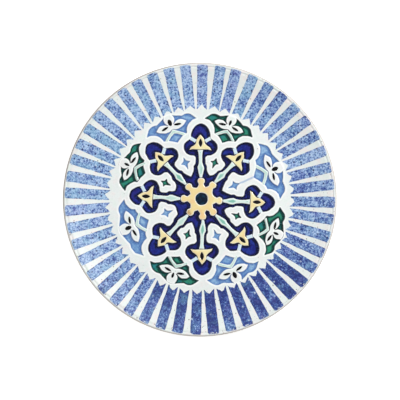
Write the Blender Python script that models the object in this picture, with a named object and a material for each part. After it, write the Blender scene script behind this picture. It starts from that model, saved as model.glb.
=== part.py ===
"""Hand painted ceramic plate.

A thrown clay body on a foot ring carries a thick white slip coat.  The pools of a
medallion are cut through the slip.  Coloured glazes fill the pools, and raised motifs
stand on the glaze: a star, its stems and lilies, flowers with pairs of leaves.

Plan outlines are worked out in millimetres, about the plate's axis, and become metres
when a mesh is made.  The origin is the middle of the foot ring's underside, +Z is up.
"""

from math import atan2, ceil, cos, degrees, hypot, radians, sin, tau

import bmesh
import bpy
from mathutils.geometry import delaunay_2d_cdt

MM = 0.001
SEGMENTS = 56               # sides of every turned piece
GAP = 0.3                   # clearance between pieces that touch
POOL_STEP = 5.5             # longest side in the outline of a pool
MOTIF_STEP = 9.0            # and of a motif
EYE_SIDES = 16
LONGEST_MITRE = 1.2         # how far a corner may move, as a share of the clearance
WELD = 1e-5                 # points of an outline nearer than this are one point

# --- Section of the plate ---------------------------------------------------------------
PLATE_RADIUS = 150.0
PLATE_HEIGHT = 27.0
FLOOR_UNDERSIDE = 6.0       # height of the clay floor above the table
FLOOR_THICKNESS = 6.0
RIM_CLAY_THICKNESS = 4.9
WELL_RADIUS = 103.0         # the medallion lies inside this, on a flat floor
CREST_RADIUS = 147.5        # where the rim is highest
RIM_CURVE = 1.5             # power of the rim's rise: 1 is a cone, 2 a parabola
RIM_RINGS = 5
RELIEF_THICKNESS = 2.4      # slip around the medallion's pools
RIM_SLIP_THICKNESS = 1.0
SLIP_TAPER = 12.0           # radial distance in which the slip thins out
LIP_RADIUS = 1.6            # rounding of the slip over the crest
LIP_ARC = (120, 90, 45, -10)  # directions of its points, in degrees
# The clay's own lip, as (radius, height): it carries the slip's lip and ends the section.
CLAY_LIP = ((147.5, 25.5), (148.2, 24.9), (149.3, 24.6), (PLATE_RADIUS, 23.6), (149.9, 22.6),
            (149.0, 21.6))
BACK_GLAZE_THICKNESS = 0.7
BACK_GLAZE_OUTER = 146.5
BACK_GLAZE_INNER = 95.5
FOOT_OUTER = 94.0
FOOT_INNER = 85.0
FOOT_TAPER = 1.7            # how far each side of the foot leans in at the table
FOOT_CHAMFER = 1.2          # height of its chamfer, which takes up half of the taper
POOL_THICKNESS = 0.6        # glaze in the bottom of a pool

# --- Centre star ------------------------------------------------------------------------
STAR_CENTRE = (1.9, 0.9)    # the potter's centre is a little off the plate's axis
KNOB_ANGLES = (-6.0, 51.2, 91.6, 137.2, 179.5, 229.2, 273.5, 311.0)
KNOB_TIP = 23.0
KNOB = ((16.0, 3.3), (19.3, 4.1), (22.2, 2.9), (KNOB_TIP, 0.0))  # (along, across)
VALLEY_RADIUS = 13.5
EYE_RADIUS = 6.5

# --- Eight arms: direction in degrees, radius of the lily's foot, radius of the lobe's tip
ARMS = (
    (-2.5, 55.2, 82.1),
    (47.0, 54.7, 83.1),
    (89.4, 55.0, 83.5),
    (133.5, 55.2, 83.7),
    (176.5, 52.0, 77.7),
    (228.0, 52.4, 81.0),
    (272.0, 54.7, 83.1),
    (316.5, 56.9, 87.0),
)
LOBE_LENGTH = 28.8          # from the lily's foot to the lobe's tip on the pattern below

# --- Eight spaces between arms: direction of the motifs, inner tip of the spandrel, -------
# --- foot of the flower, inner tip of the kite, centre of the kite's diamond, glaze -------
SPACES = (
    (22.3, 64.0, 82.0, 25.5, 41.2, "blue"),
    (68.4, 67.3, 83.6, 28.0, 43.6, "green"),
    (111.4, 67.3, 83.6, 26.6, 43.4, "blue"),
    (154.3, 67.0, 82.0, 29.0, 42.6, "green"),
    (201.6, 60.5, 77.6, 28.0, 39.9, "blue"),
    (250.3, 66.5, 81.2, 26.5, 41.4, "green"),
    (294.8, 67.3, 84.2, 28.0, 44.0, "blue"),
    (336.0, 68.5, 84.4, 29.0, 44.5, "green"),
)

# Patterns: (along, across) in millimetres from the lily's foot, on one side of the axis.
# The lobe's pattern runs from the notch beside the lily to the tip.
LOBE = ((12.5, 10.0), (17.1, 10.1), (21.7, 8.8), (26.3, 5.4), (LOBE_LENGTH, 0.0))
SIDE_LOBE = ((-8.6, 5.3), (-6.7, 7.5), (-5.7, 12.3), (-3.1, 16.1), (0.9, 18.1),
             (5.3, 17.7), (9.7, 14.0), (12.5, 10.0))
# The neck's pattern gives along as a share of the radius of the lily's foot.
NECK = ((0.536, 7.9), (0.607, 6.8), (0.664, 6.9), (0.716, 5.3), (0.797, 5.0))
LILY = ((16.7, 0.0), (13.4, 2.8), (10.4, 4.6), (7.3, 5.7), (4.6, 7.9), (2.4, 10.5),
        (-0.7, 12.2))
LILY_FOOT = ((-0.7, 12.2), (0.1, 8.4), (0.2, 3.5), (0.2, 0.0))
SEED_CENTRE = 7.4
SEED = ((-4.4, 0.0), (-1.8, 1.5), (1.3, 1.8), (4.4, 0.0))  # from the seed's centre
STEM_GAP = 1.5 * GAP        # between a stem's rounded end and the star or the lily
# The stem's pattern gives along as a share of its length, from the star outwards.
STEM = ((0.0, 1.4), (0.1, 1.9), (0.2, 2.7), (0.36, 3.6), (0.46, 2.6), (0.56, 2.0),
        (0.75, 1.9), (0.88, 2.2), (1.0, 3.0))
# White border round the lobes: it carries the spandrels' inner edges.
BORDER_SIDE = ((14.6, 20.1), (18.4, 15.1))
BORDER_LOBE = ((18.4, 15.1), (23.8, 15.2), (28.2, 13.6), (33.1, 9.2), (34.8, 4.8))
# Outer edge of a spandrel: share of its half angle, distance beyond the lobes' tips.
SPANDREL_EDGE = ((0.76, 11.3), (0.62, 11.9), (0.47, 10.7), (0.29, 12.4), (0.0, 14.9))

# Patterns: (along, across) from the flower's foot, on one side of the axis.
SIDE_PETAL_UNDER = ((-1.1, 0.0), (-2.2, 3.8), (-2.3, 8.5), (-0.3, 14.0), (2.7, 18.0))
SIDE_PETAL_OVER = ((2.7, 18.0), (6.0, 14.2), (7.5, 10.0), (7.0, 5.0))
OUTER_PETAL = ((7.0, 5.0), (9.6, 5.9), (12.0, 4.3), (13.2, 0.0))
LEAF_OUTER = ((-1.9, 0.0), (-4.2, 5.7), (-8.3, 8.9))
LEAF_INNER = ((-8.3, 8.9), (-7.5, 4.4), (-5.5, 0.0))
PATTERN_SPACING = 44.0                 # angle between the arms that the flower's pattern fits
WIDEST_FLOWER = 1.05                   # largest share of its pattern's size
DIAMOND_REACH = (4.6, 4.0, 6.2, 4.0)   # outward, left, inward, right
DIAMOND_WAIST = 2.1                    # how near its sides come to its middle
DIAMOND_SCALE = {"green": 1.08, "blue": 1.3}


# --- Plan geometry ------------------------------------------------------------------------
def polar(angle, radius):
    return (radius * cos(radians(angle)), radius * sin(radians(angle)))


def moved(points, offset):
    return [(x + offset[0], y + offset[1]) for x, y in points]


def placed(pattern, angle, along=0.0, stretch=1.0, side=1):
    """Points of a pattern on the axis at angle, started at along.

    Stretch lengthens the pattern along the axis.  Side is 1 for the axis's left and -1 for
    its right, and a larger number also widens the pattern.
    """
    direction = (cos(radians(angle)), sin(radians(angle)))
    points = []
    for u, v in pattern:
        u = along + u * stretch
        v = side * v
        points.append((u * direction[0] - v * direction[1], u * direction[1] + v * direction[0]))
    return points


def curve_through(points, step):
    """A Catmull-Rom curve through the points, without its last one."""
    first = [2 * a - b for a, b in zip(points[0], points[1])]
    last = [2 * a - b for a, b in zip(points[-1], points[-2])]
    path = [first, *points, last]
    curve = []
    for before, start, end, after in zip(path, path[1:], path[2:], path[3:]):
        count = max(1, ceil(hypot(end[0] - start[0], end[1] - start[1]) / step))
        for index in range(count):
            t = index / count
            curve.append(tuple(
                0.5 * (2 * b + (c - a) * t + (2 * a - 5 * b + 4 * c - d) * t ** 2
                       + (3 * b - a - 3 * c + d) * t ** 3)
                for a, b, c, d in zip(before, start, end, after)))
    return curve


def outline(runs, step):
    """A closed outline of curves that meet in corners, counter-clockwise."""
    points = []
    for run in runs:
        points.extend(curve_through(run, step))
    area = sum(a[0] * b[1] - b[0] * a[1] for a, b in zip(points, points[1:] + points[:1]))
    if area < 0:
        points.reverse()
    return points


def circle(centre, radius, count):
    return [(centre[0] + radius * cos(tau * index / count),
             centre[1] + radius * sin(tau * index / count)) for index in range(count)]


def inset(points, distance):
    """The counter-clockwise outline moved inwards by distance, measured across its sides."""
    smaller = []
    for before, here, after in zip(points[-1:] + points[:-1], points, points[1:] + points[:1]):
        normals = []
        for start, end in ((before, here), (here, after)):
            length = hypot(end[0] - start[0], end[1] - start[1])
            normals.append(((start[1] - end[1]) / length, (end[0] - start[0]) / length))
        x = normals[0][0] + normals[1][0]
        y = normals[0][1] + normals[1][1]
        scale = min(2.0 / (x * x + y * y), LONGEST_MITRE / hypot(x, y))
        smaller.append((here[0] + x * scale * distance, here[1] + y * scale * distance))
    return smaller


# --- Outlines of the pieces ---------------------------------------------------------------
def lobe_stretch(arm):
    return (arm[2] - arm[1]) / LOBE_LENGTH


def arm_runs(arm, side):
    """The edge of one side of an arm: neck and side lobe, then half of the outer lobe."""
    angle, foot, _ = arm
    neck = placed([(share * foot, across) for share, across in NECK], angle, side=side)
    side_lobe = placed(SIDE_LOBE, angle, foot, side=side)
    lobe = placed(LOBE, angle, foot, lobe_stretch(arm), side)
    lobe[0] = side_lobe[-1]
    return neck + side_lobe, lobe


def navy_outline(step):
    """The star-shaped pool: eight arms that meet between the kites' inner tips."""
    runs = []
    for index, arm in enumerate(ARMS):
        right_tip = kite_tip(index - 1)
        left_tip = kite_tip(index)
        right_side, right_lobe = arm_runs(arm, -1)
        left_side, left_lobe = arm_runs(arm, 1)
        runs.append([right_tip] + right_side)
        runs.append(right_lobe + left_lobe[-2::-1])
        runs.append(left_side[::-1] + [left_tip])
    return outline(runs, step)


def kite_tip(index):
    space = SPACES[index]
    return polar(space[0], space[3])


def star_outline(step):
    """Eight round knobs about the star's own centre, with round valleys between them."""
    points = []
    for angle, after in zip(KNOB_ANGLES, KNOB_ANGLES[1:] + (KNOB_ANGLES[0] + 360,)):
        points += placed(KNOB, angle, side=-1) + placed(KNOB[-2::-1], angle)
        points.append(polar((angle + after) / 2, VALLEY_RADIUS))
    return outline([moved(points + points[:1], STAR_CENTRE)], step)


def lily_outline(arm, step):
    """A three-pointed flower head, its arms swept back to its foot."""
    angle, foot, _ = arm
    right, left = (placed(LILY, angle, foot, side=side) for side in (-1, 1))
    right_foot, left_foot = (placed(LILY_FOOT, angle, foot, side=side) for side in (-1, 1))
    return outline([right[::-1], left, left_foot + right_foot[-2::-1]], step)


def seed_outline(arm, step):
    """A pointed slit through the middle of a lily."""
    angle, foot, _ = arm
    centre = foot + SEED_CENTRE
    return outline([placed(SEED, angle, centre, side=-1), placed(SEED[::-1], angle, centre)], step)


def stem_outline(index, step):
    """A tapering bar with a swelling, from a knob of the star to the foot of a lily."""
    angle, foot, _ = ARMS[index]
    start = moved([polar(KNOB_ANGLES[index], KNOB_TIP + STEM_GAP)], STAR_CENTRE)[0]
    end = polar(angle, foot - STEM_GAP)
    length = hypot(end[0] - start[0], end[1] - start[1])
    direction = degrees(atan2(end[1] - start[1], end[0] - start[0]))
    pattern = [(share * length, across) for share, across in STEM]
    right = placed(pattern, direction, side=-1)
    left = placed(pattern, direction)
    runs = (right, [right[-1], left[-1]], left[::-1], [left[0], right[0]])
    return outline([moved(run, start) for run in runs], step)


def angle_of(point, middle):
    """The direction of a point in degrees, as a turn of less than half from middle."""
    turn = degrees(atan2(point[1], point[0])) - middle
    return (turn + 180) % 360 - 180


def spandrel_outline(index, step):
    """The pool between two arms: it follows the white border of each, then the band."""
    arm = ARMS[index]
    next_arm = ARMS[(index + 1) % len(ARMS)]
    space = SPACES[index]
    tip = polar(space[0], space[1])
    right_side = placed(BORDER_SIDE, arm[0], arm[1])
    left_side = placed(BORDER_SIDE, next_arm[0], next_arm[1], side=-1)
    right_lobe = placed(BORDER_LOBE, arm[0], arm[1], lobe_stretch(arm))
    left_lobe = placed(BORDER_LOBE, next_arm[0], next_arm[1], lobe_stretch(next_arm), -1)
    right_lobe[0] = right_side[-1]
    left_lobe[0] = left_side[-1]
    edge = []
    for near, far, lobe in ((arm, next_arm, right_lobe), (next_arm, arm, left_lobe)):
        half_angle = angle_of(lobe[-1], space[0])
        for share, beyond in SPANDREL_EDGE:
            tips = near[2] * (1 + share) / 2 + far[2] * (1 - share) / 2
            edge.append(polar(space[0] + half_angle * share, tips + beyond))
    half = len(SPANDREL_EDGE)
    edge = edge[:half] + edge[-2:half - 1:-1]
    runs = ([tip] + right_side, right_lobe, [right_lobe[-1]] + edge + [left_lobe[-1]],
            left_lobe[::-1], left_side[::-1] + [tip])
    return outline(runs, step)


def flower_scale(index):
    """A flower is as wide as the space between its arms lets it be."""
    return ((ARMS[(index + 1) % len(ARMS)][0] - ARMS[index][0]) % 360) / PATTERN_SPACING


def flower_outline(index, step):
    """Two side petals and an outer petal that share a foot."""
    angle, foot = SPACES[index][0], SPACES[index][2]
    scale = min(WIDEST_FLOWER, flower_scale(index))
    right, left = ([placed(run, angle, foot, scale, side * scale)
                    for run in (SIDE_PETAL_UNDER, SIDE_PETAL_OVER, OUTER_PETAL)]
                   for side in (-1, 1))
    runs = (right[0], right[1], right[2] + left[2][-2::-1], left[1][::-1], left[0][::-1])
    return outline(runs, step)


def leaf_outline(index, step):
    """A pair of leaves, joined below the flower's foot like a V."""
    angle, foot = SPACES[index][0], SPACES[index][2]
    right, left = ([placed(run, angle, foot, side=side) for run in (LEAF_OUTER, LEAF_INNER)]
                   for side in (-1, 1))
    return outline((left[0], left[1], right[1][::-1], right[0][::-1]), step)


def diamond_outline(index, step):
    """A four-pointed figure with hollow sides, in the middle of a kite."""
    angle, _, _, _, centre, glaze = SPACES[index]
    scale = DIAMOND_SCALE[glaze]
    points = [polar(turn, reach * scale)
              for turn, reach in zip((0, 90, 180, 270), DIAMOND_REACH)]
    waists = [polar(turn, DIAMOND_WAIST * scale) for turn in (45, 135, 225, 315)]
    runs = []
    for start, waist, end in zip(points, waists, points[1:] + points[:1]):
        runs.append(placed((start, waist, end), angle, centre))
    return outline(runs, step)


# --- Section geometry ---------------------------------------------------------------------
WELL_TOP = FLOOR_UNDERSIDE + FLOOR_THICKNESS + GAP + RELIEF_THICKNESS
POOL_LOW = FLOOR_UNDERSIDE + FLOOR_THICKNESS + GAP
POOL_HIGH = POOL_LOW + POOL_THICKNESS
MOTIF_LOW = POOL_HIGH + GAP


def slip_top(radius):
    """Height of the white surface: flat in the well, then curving up to the crest."""
    share = max(0.0, radius - WELL_RADIUS) / (CREST_RADIUS - WELL_RADIUS)
    return WELL_TOP + (PLATE_HEIGHT - WELL_TOP) * share ** RIM_CURVE


def slip_thickness(radius):
    share = min(1.0, max(0.0, radius - WELL_RADIUS) / SLIP_TAPER)
    return RELIEF_THICKNESS + (RIM_SLIP_THICKNESS - RELIEF_THICKNESS) * share


def clay_top(radius):
    return slip_top(radius) - slip_thickness(radius) - GAP


def clay_underside(radius):
    share = max(0.0, radius - WELL_RADIUS) / (CREST_RADIUS - WELL_RADIUS)
    return clay_top(radius) - FLOOR_THICKNESS - (RIM_CLAY_THICKNESS - FLOOR_THICKNESS) * share


def rim_radii():
    last = CREST_RADIUS - LIP_RADIUS
    return [WELL_RADIUS + (last - WELL_RADIUS) * index / RIM_RINGS
            for index in range(RIM_RINGS + 1)]


def lip_arc(radius):
    """Points of the rounding over the crest, at radius from its centre."""
    centre = (CREST_RADIUS, PLATE_HEIGHT - LIP_RADIUS)
    return [(centre[0] + radius * cos(radians(angle)), centre[1] + radius * sin(radians(angle)))
            for angle in LIP_ARC]


# --- Meshes -------------------------------------------------------------------------------
def material(name, colour, roughness):
    new = bpy.data.materials.new(name)
    new.use_nodes = True
    shader = new.node_tree.nodes["Principled BSDF"]
    shader.inputs["Base Color"].default_value = (*colour, 1.0)
    shader.inputs["Roughness"].default_value = roughness
    shader.inputs["Metallic"].default_value = 0.0
    new.diffuse_color = (*colour, 1.0)
    return new


def add_object(name, mesh_builder, surface):
    mesh = bpy.data.meshes.new(name)
    bmesh.ops.recalc_face_normals(mesh_builder, faces=mesh_builder.faces)
    mesh_builder.to_mesh(mesh)
    mesh_builder.free()
    mesh.materials.append(surface)
    mesh.shade_smooth()
    mesh.set_sharp_from_angle(angle=radians(35))
    new = bpy.data.objects.new(name, mesh)
    bpy.context.collection.objects.link(new)
    return new


def turned(name, section, surface):
    """A closed section of (radius, height) points, turned once about the plate's axis."""
    builder = bmesh.new()
    corners = [builder.verts.new((radius * MM, 0.0, height * MM)) for radius, height in section]
    sides = [builder.edges.new(pair) for pair in zip(corners, corners[1:] + corners[:1])
             if max(pair[0].co.x, pair[1].co.x) > 0.0]
    bmesh.ops.spin(builder, geom=corners + sides, cent=(0, 0, 0), axis=(0, 0, 1),
                   angle=tau, steps=SEGMENTS, use_merge=True)
    bmesh.ops.remove_doubles(builder, verts=builder.verts, dist=0.01 * MM)
    return add_object(name, builder, surface)


def inside(point, loops):
    """Even-odd test of a point against closed outlines."""
    crossings = 0
    for loop in loops:
        for start, end in zip(loop, loop[1:] + loop[:1]):
            if (start[1] > point[1]) != (end[1] > point[1]):
                share = (point[1] - start[1]) / (end[1] - start[1])
                crossings += point[0] < start[0] + share * (end[0] - start[0])
    return crossings % 2 == 1


def filled(loops):
    """Triangles, as point numbers, that fill the first outline and leave the others open."""
    points = [point for loop in loops for point in loop]
    edges = []
    for loop in loops:
        start = len(edges)
        edges += [(start + index, start + (index + 1) % len(loop)) for index in range(len(loop))]
    verts, _, faces, origins, _, _ = delaunay_2d_cdt(points, edges, [], 0, WELD)
    triangles = []
    for face in faces:
        middle = [sum(verts[corner][axis] for corner in face) / 3 for axis in (0, 1)]
        if inside(middle, loops):
            triangles.append([origins[corner][0] for corner in face])
    return points, triangles


def add_caps(builder, loops, low, high):
    """The flat faces of a cut-out, top and bottom: returns the points of both."""
    points, triangles = filled(loops)
    bottom = [builder.verts.new((x * MM, y * MM, low * MM)) for x, y in points]
    top = [builder.verts.new((x * MM, y * MM, high * MM)) for x, y in points]
    for a, b, c in triangles:
        builder.faces.new((top[a], top[b], top[c]))
        builder.faces.new((bottom[a], bottom[c], bottom[b]))
    return bottom, top


def add_walls(builder, lower, upper):
    """Quads between two closed rings of as many points."""
    count = len(lower)
    for index in range(count):
        after = (index + 1) % count
        builder.faces.new((lower[index], lower[after], upper[after], upper[index]))


def cut_out(name, loops, low, high, surface):
    """A flat piece: the first outline is its edge, any others are holes through it."""
    builder = bmesh.new()
    bottom, top = add_caps(builder, loops, low, high)
    start = 0
    for loop in loops:
        end = start + len(loop)
        add_walls(builder, bottom[start:end], top[start:end])
        start = end
    return add_object(name, builder, surface)


def slip_coat(name, holes, surface):
    """The white coat: a flat sheet with the pools' holes, and the rim round it."""
    builder = bmesh.new()
    edge = circle((0.0, 0.0), WELL_RADIUS, SEGMENTS)
    bottom, top = add_caps(builder, [edge] + holes, POOL_LOW, WELL_TOP)
    start = SEGMENTS
    for hole in holes:
        end = start + len(hole)
        add_walls(builder, bottom[start:end], top[start:end])
        start = end
    radii = rim_radii()[1:]
    section = [(radius, slip_top(radius)) for radius in radii]
    section += lip_arc(LIP_RADIUS)
    section += lip_arc(LIP_RADIUS - RIM_SLIP_THICKNESS)[::-1]
    section += [(radius, slip_top(radius) - slip_thickness(radius)) for radius in radii[::-1]]
    ring = top[:SEGMENTS]
    for radius, height in section:
        outer = [builder.verts.new((x * MM, y * MM, height * MM))
                 for x, y in circle((0.0, 0.0), radius, SEGMENTS)]
        add_walls(builder, ring, outer)
        ring = outer
    add_walls(builder, ring, bottom[:SEGMENTS])
    return add_object(name, builder, surface)


# --- The pieces ---------------------------------------------------------------------------
def make_clay_body(surface):
    radii = rim_radii()
    section = [(0.0, clay_top(0.0))]
    section += [(radius, clay_top(radius)) for radius in radii]
    section += CLAY_LIP
    section += [(radius, clay_underside(radius)) for radius in radii[::-1]]
    section += [(0.0, clay_underside(0.0))]
    turned("clay_body", section, surface)


def make_foot_ring(surface):
    top = FLOOR_UNDERSIDE - GAP
    half = FOOT_TAPER / 2
    section = [(FOOT_OUTER, top), (FOOT_OUTER - half, FOOT_CHAMFER),
               (FOOT_OUTER - FOOT_TAPER, 0.0), (FOOT_INNER + FOOT_TAPER, 0.0),
               (FOOT_INNER + half, FOOT_CHAMFER), (FOOT_INNER, top)]
    turned("foot_ring", section, surface)


def make_back_glaze(surface):
    """A thin coat under the rim, from the lip to the foot ring."""
    radii = [BACK_GLAZE_INNER] + [r for r in rim_radii() if r < BACK_GLAZE_OUTER]
    upper = [(radius, clay_underside(radius) - GAP) for radius in radii]
    lower = [(radius, height - BACK_GLAZE_THICKNESS) for radius, height in upper]
    turned("back_glaze", lower + upper[::-1], surface)


def make_front(surfaces):
    """The slip coat with its holes, and the glaze that fills each of them."""
    navy = navy_outline(POOL_STEP)
    spandrels = [spandrel_outline(index, POOL_STEP) for index in range(len(SPACES))]
    diamonds = [diamond_outline(index, POOL_STEP) for index in range(len(SPACES))]
    slip_coat("front_slip", [navy] + spandrels + diamonds, surfaces["white"])
    cut_out("navy_ground", [inset(navy, GAP)], POOL_LOW, POOL_HIGH, surfaces["navy"])
    for index, space in enumerate(SPACES):
        glaze = surfaces[space[5]]
        cut_out(f"spandrel_ground_{index + 1}", [inset(spandrels[index], GAP)],
                POOL_LOW, POOL_HIGH, glaze)
        cut_out(f"kite_diamond_{index + 1}", [inset(diamonds[index], GAP)],
                POOL_LOW, POOL_HIGH, glaze)


def make_centre(surfaces):
    star = star_outline(MOTIF_STEP)
    cut_out("centre_star", [star, circle(STAR_CENTRE, EYE_RADIUS + GAP, EYE_SIDES)],
            MOTIF_LOW, WELL_TOP, surfaces["yellow"])
    cut_out("centre_eye", [circle(STAR_CENTRE, EYE_RADIUS, EYE_SIDES)], MOTIF_LOW,
            MOTIF_LOW + POOL_THICKNESS, surfaces["ink"])


def make_arms(surfaces):
    for index, arm in enumerate(ARMS):
        cut_out(f"stem_{index + 1}", [stem_outline(index, MOTIF_STEP)], MOTIF_LOW, WELL_TOP,
                surfaces["mint"])
        loops = [lily_outline(arm, MOTIF_STEP), seed_outline(arm, MOTIF_STEP)]
        cut_out(f"lily_{index + 1}", loops, MOTIF_LOW, WELL_TOP, surfaces["yellow"])


def make_flowers(surfaces):
    for index in range(len(SPACES)):
        cut_out(f"flower_{index + 1}", [flower_outline(index, MOTIF_STEP)], MOTIF_LOW, WELL_TOP,
                surfaces["white"])
        cut_out(f"leaf_pair_{index + 1}", [leaf_outline(index, MOTIF_STEP)], MOTIF_LOW, WELL_TOP,
                surfaces["mint"])


def main():
    for old in list(bpy.data.objects):
        bpy.data.objects.remove(old, do_unlink=True)
    surfaces = {
        "clay": material("bare_clay", (0.50, 0.38, 0.27), 0.85),
        "back": material("back_glaze", (0.72, 0.71, 0.66), 0.35),
        "white": material("white_slip", (0.80, 0.82, 0.80), 0.30),
        "navy": material("navy_glaze", (0.022, 0.028, 0.20), 0.20),
        "blue": material("sky_glaze", (0.11, 0.27, 0.55), 0.22),
        "green": material("green_glaze", (0.02, 0.20, 0.14), 0.20),
        "yellow": material("yellow_glaze", (0.86, 0.68, 0.31), 0.30),
        "mint": material("mint_glaze", (0.58, 0.80, 0.68), 0.28),
        "ink": material("ink_glaze", (0.008, 0.02, 0.07), 0.15),
    }
    make_clay_body(surfaces["clay"])
    make_foot_ring(surfaces["clay"])
    make_back_glaze(surfaces["back"])
    make_front(surfaces)
    make_centre(surfaces)
    make_arms(surfaces)
    make_flowers(surfaces)


main()
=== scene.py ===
from math import atan2, ceil, cos, degrees, pi, radians, sin, tau

import bmesh
import bpy
import numpy as np
from bpy.props import FloatProperty, FloatVectorProperty, IntProperty, PointerProperty
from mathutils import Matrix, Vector, kdtree, noise
from mathutils.geometry import delaunay_2d_cdt


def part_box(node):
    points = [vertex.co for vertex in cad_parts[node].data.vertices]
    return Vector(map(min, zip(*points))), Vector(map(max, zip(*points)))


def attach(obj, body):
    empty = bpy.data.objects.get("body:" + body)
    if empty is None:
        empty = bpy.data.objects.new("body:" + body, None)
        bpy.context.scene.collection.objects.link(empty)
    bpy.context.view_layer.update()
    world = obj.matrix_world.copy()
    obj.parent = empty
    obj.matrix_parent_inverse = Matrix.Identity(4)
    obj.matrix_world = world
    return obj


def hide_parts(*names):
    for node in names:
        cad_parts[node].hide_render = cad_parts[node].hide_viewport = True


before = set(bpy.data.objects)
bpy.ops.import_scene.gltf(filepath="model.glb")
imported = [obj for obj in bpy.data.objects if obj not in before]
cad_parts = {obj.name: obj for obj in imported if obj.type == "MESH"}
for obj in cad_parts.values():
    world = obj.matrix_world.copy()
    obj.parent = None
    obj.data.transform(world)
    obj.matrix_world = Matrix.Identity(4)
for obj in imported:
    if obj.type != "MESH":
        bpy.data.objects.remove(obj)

bl_info = {
    "name": "Hand painted ceramic plate",
    "version": (1, 0, 0),
    "blender": (4, 5, 0),
    "location": "3D View > Sidebar > Plate",
    "description": "Glazed pools, raised flowers and a striped rim on a thrown plate",
    "category": "Object",
}

MM = 0.001
BODY = "root"
LOW, HIGH = 0, 1
ARMS = range(1, 9)


def level(node, end):
    """Height in millimetres of a CAD node's underside or top."""
    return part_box(node)[end].z / MM


WELL_TOP = level("lily_1", HIGH)
SLIP_BASE = level("front_slip", LOW)
POOL_TOP = level("navy_ground", HIGH)
MOTIF_BASE = level("lily_1", LOW)
CREST = level("front_slip", HIGH)
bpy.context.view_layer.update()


# --- Sizes, colours and light that can be changed ---
def length(name, text, default):
    return FloatProperty(name=name, description=text, default=default, unit="LENGTH",
                         precision=5)


def colour(name, text, default):
    return FloatVectorProperty(name=name, description=text, default=default, size=3,
                               subtype="COLOR", min=0.0, max=1.0)


class PlateSizes(bpy.types.PropertyGroup):
    well_radius: length("Well radius", "Where the rim starts to rise", 0.103)
    crest_radius: length("Crest radius", "Where the rim is highest", 0.1475)
    lip_radius: length("Lip radius", "Rounding of the slip over the crest", 0.0016)
    edge_round: length("Edge rounding", "Rounding of the slip beside a pool", 0.0009)
    edge_drop: length("Edge drop", "How far the rounded edge falls", 0.00055)
    meniscus: length("Meniscus", "How far glaze climbs the wall of its pool", 0.00045)
    motif_round: length("Motif rounding", "Rounding of a raised motif's edge", 0.0011)
    motif_drop: length("Motif drop", "How far a motif's edge falls", 0.0008)
    hand_wobble: length("Hand wobble", "How far a drawn line strays", 0.00022)
    outline_step: length("Outline step", "Longest side of a drawn line", 0.0007)
    stripe_count: IntProperty(name="Stripes", description="Brushed stripes on the rim",
                              default=48, min=8)
    stripe_inner: length("Stripe start", "Radius of a stripe's inner points", 0.0993)
    stripe_notch: length("Stripe notch", "Depth of the notch in its inner end", 0.0048)
    stripe_outer: length("Stripe end", "Radius where a stripe ends", 0.1480)
    stripe_half_inner: length("Inner half width", "Half a stripe's width inside", 0.0054)
    stripe_half_outer: length("Outer half width", "Half a stripe's width outside", 0.0059)
    stripe_thickness: length("Stripe thickness", "Glaze laid by the brush", 0.00013)
    seed_half_length: length("Seed half length", "Half the length of a lily's seed", 0.0046)
    seed_half_width: length("Seed half width", "Half the width of a lily's seed", 0.0018)
    slit_half_length: length("Slit half length", "Half the length of a petal's mark", 0.0042)
    slit_half_width: length("Slit half width", "Half the width of a petal's mark", 0.00135)
    tie_length: length("Tie length", "From a lily's flank to the white border", 0.0066)
    tie_width: length("Tie width", "Width of a tie", 0.0040)


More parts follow.
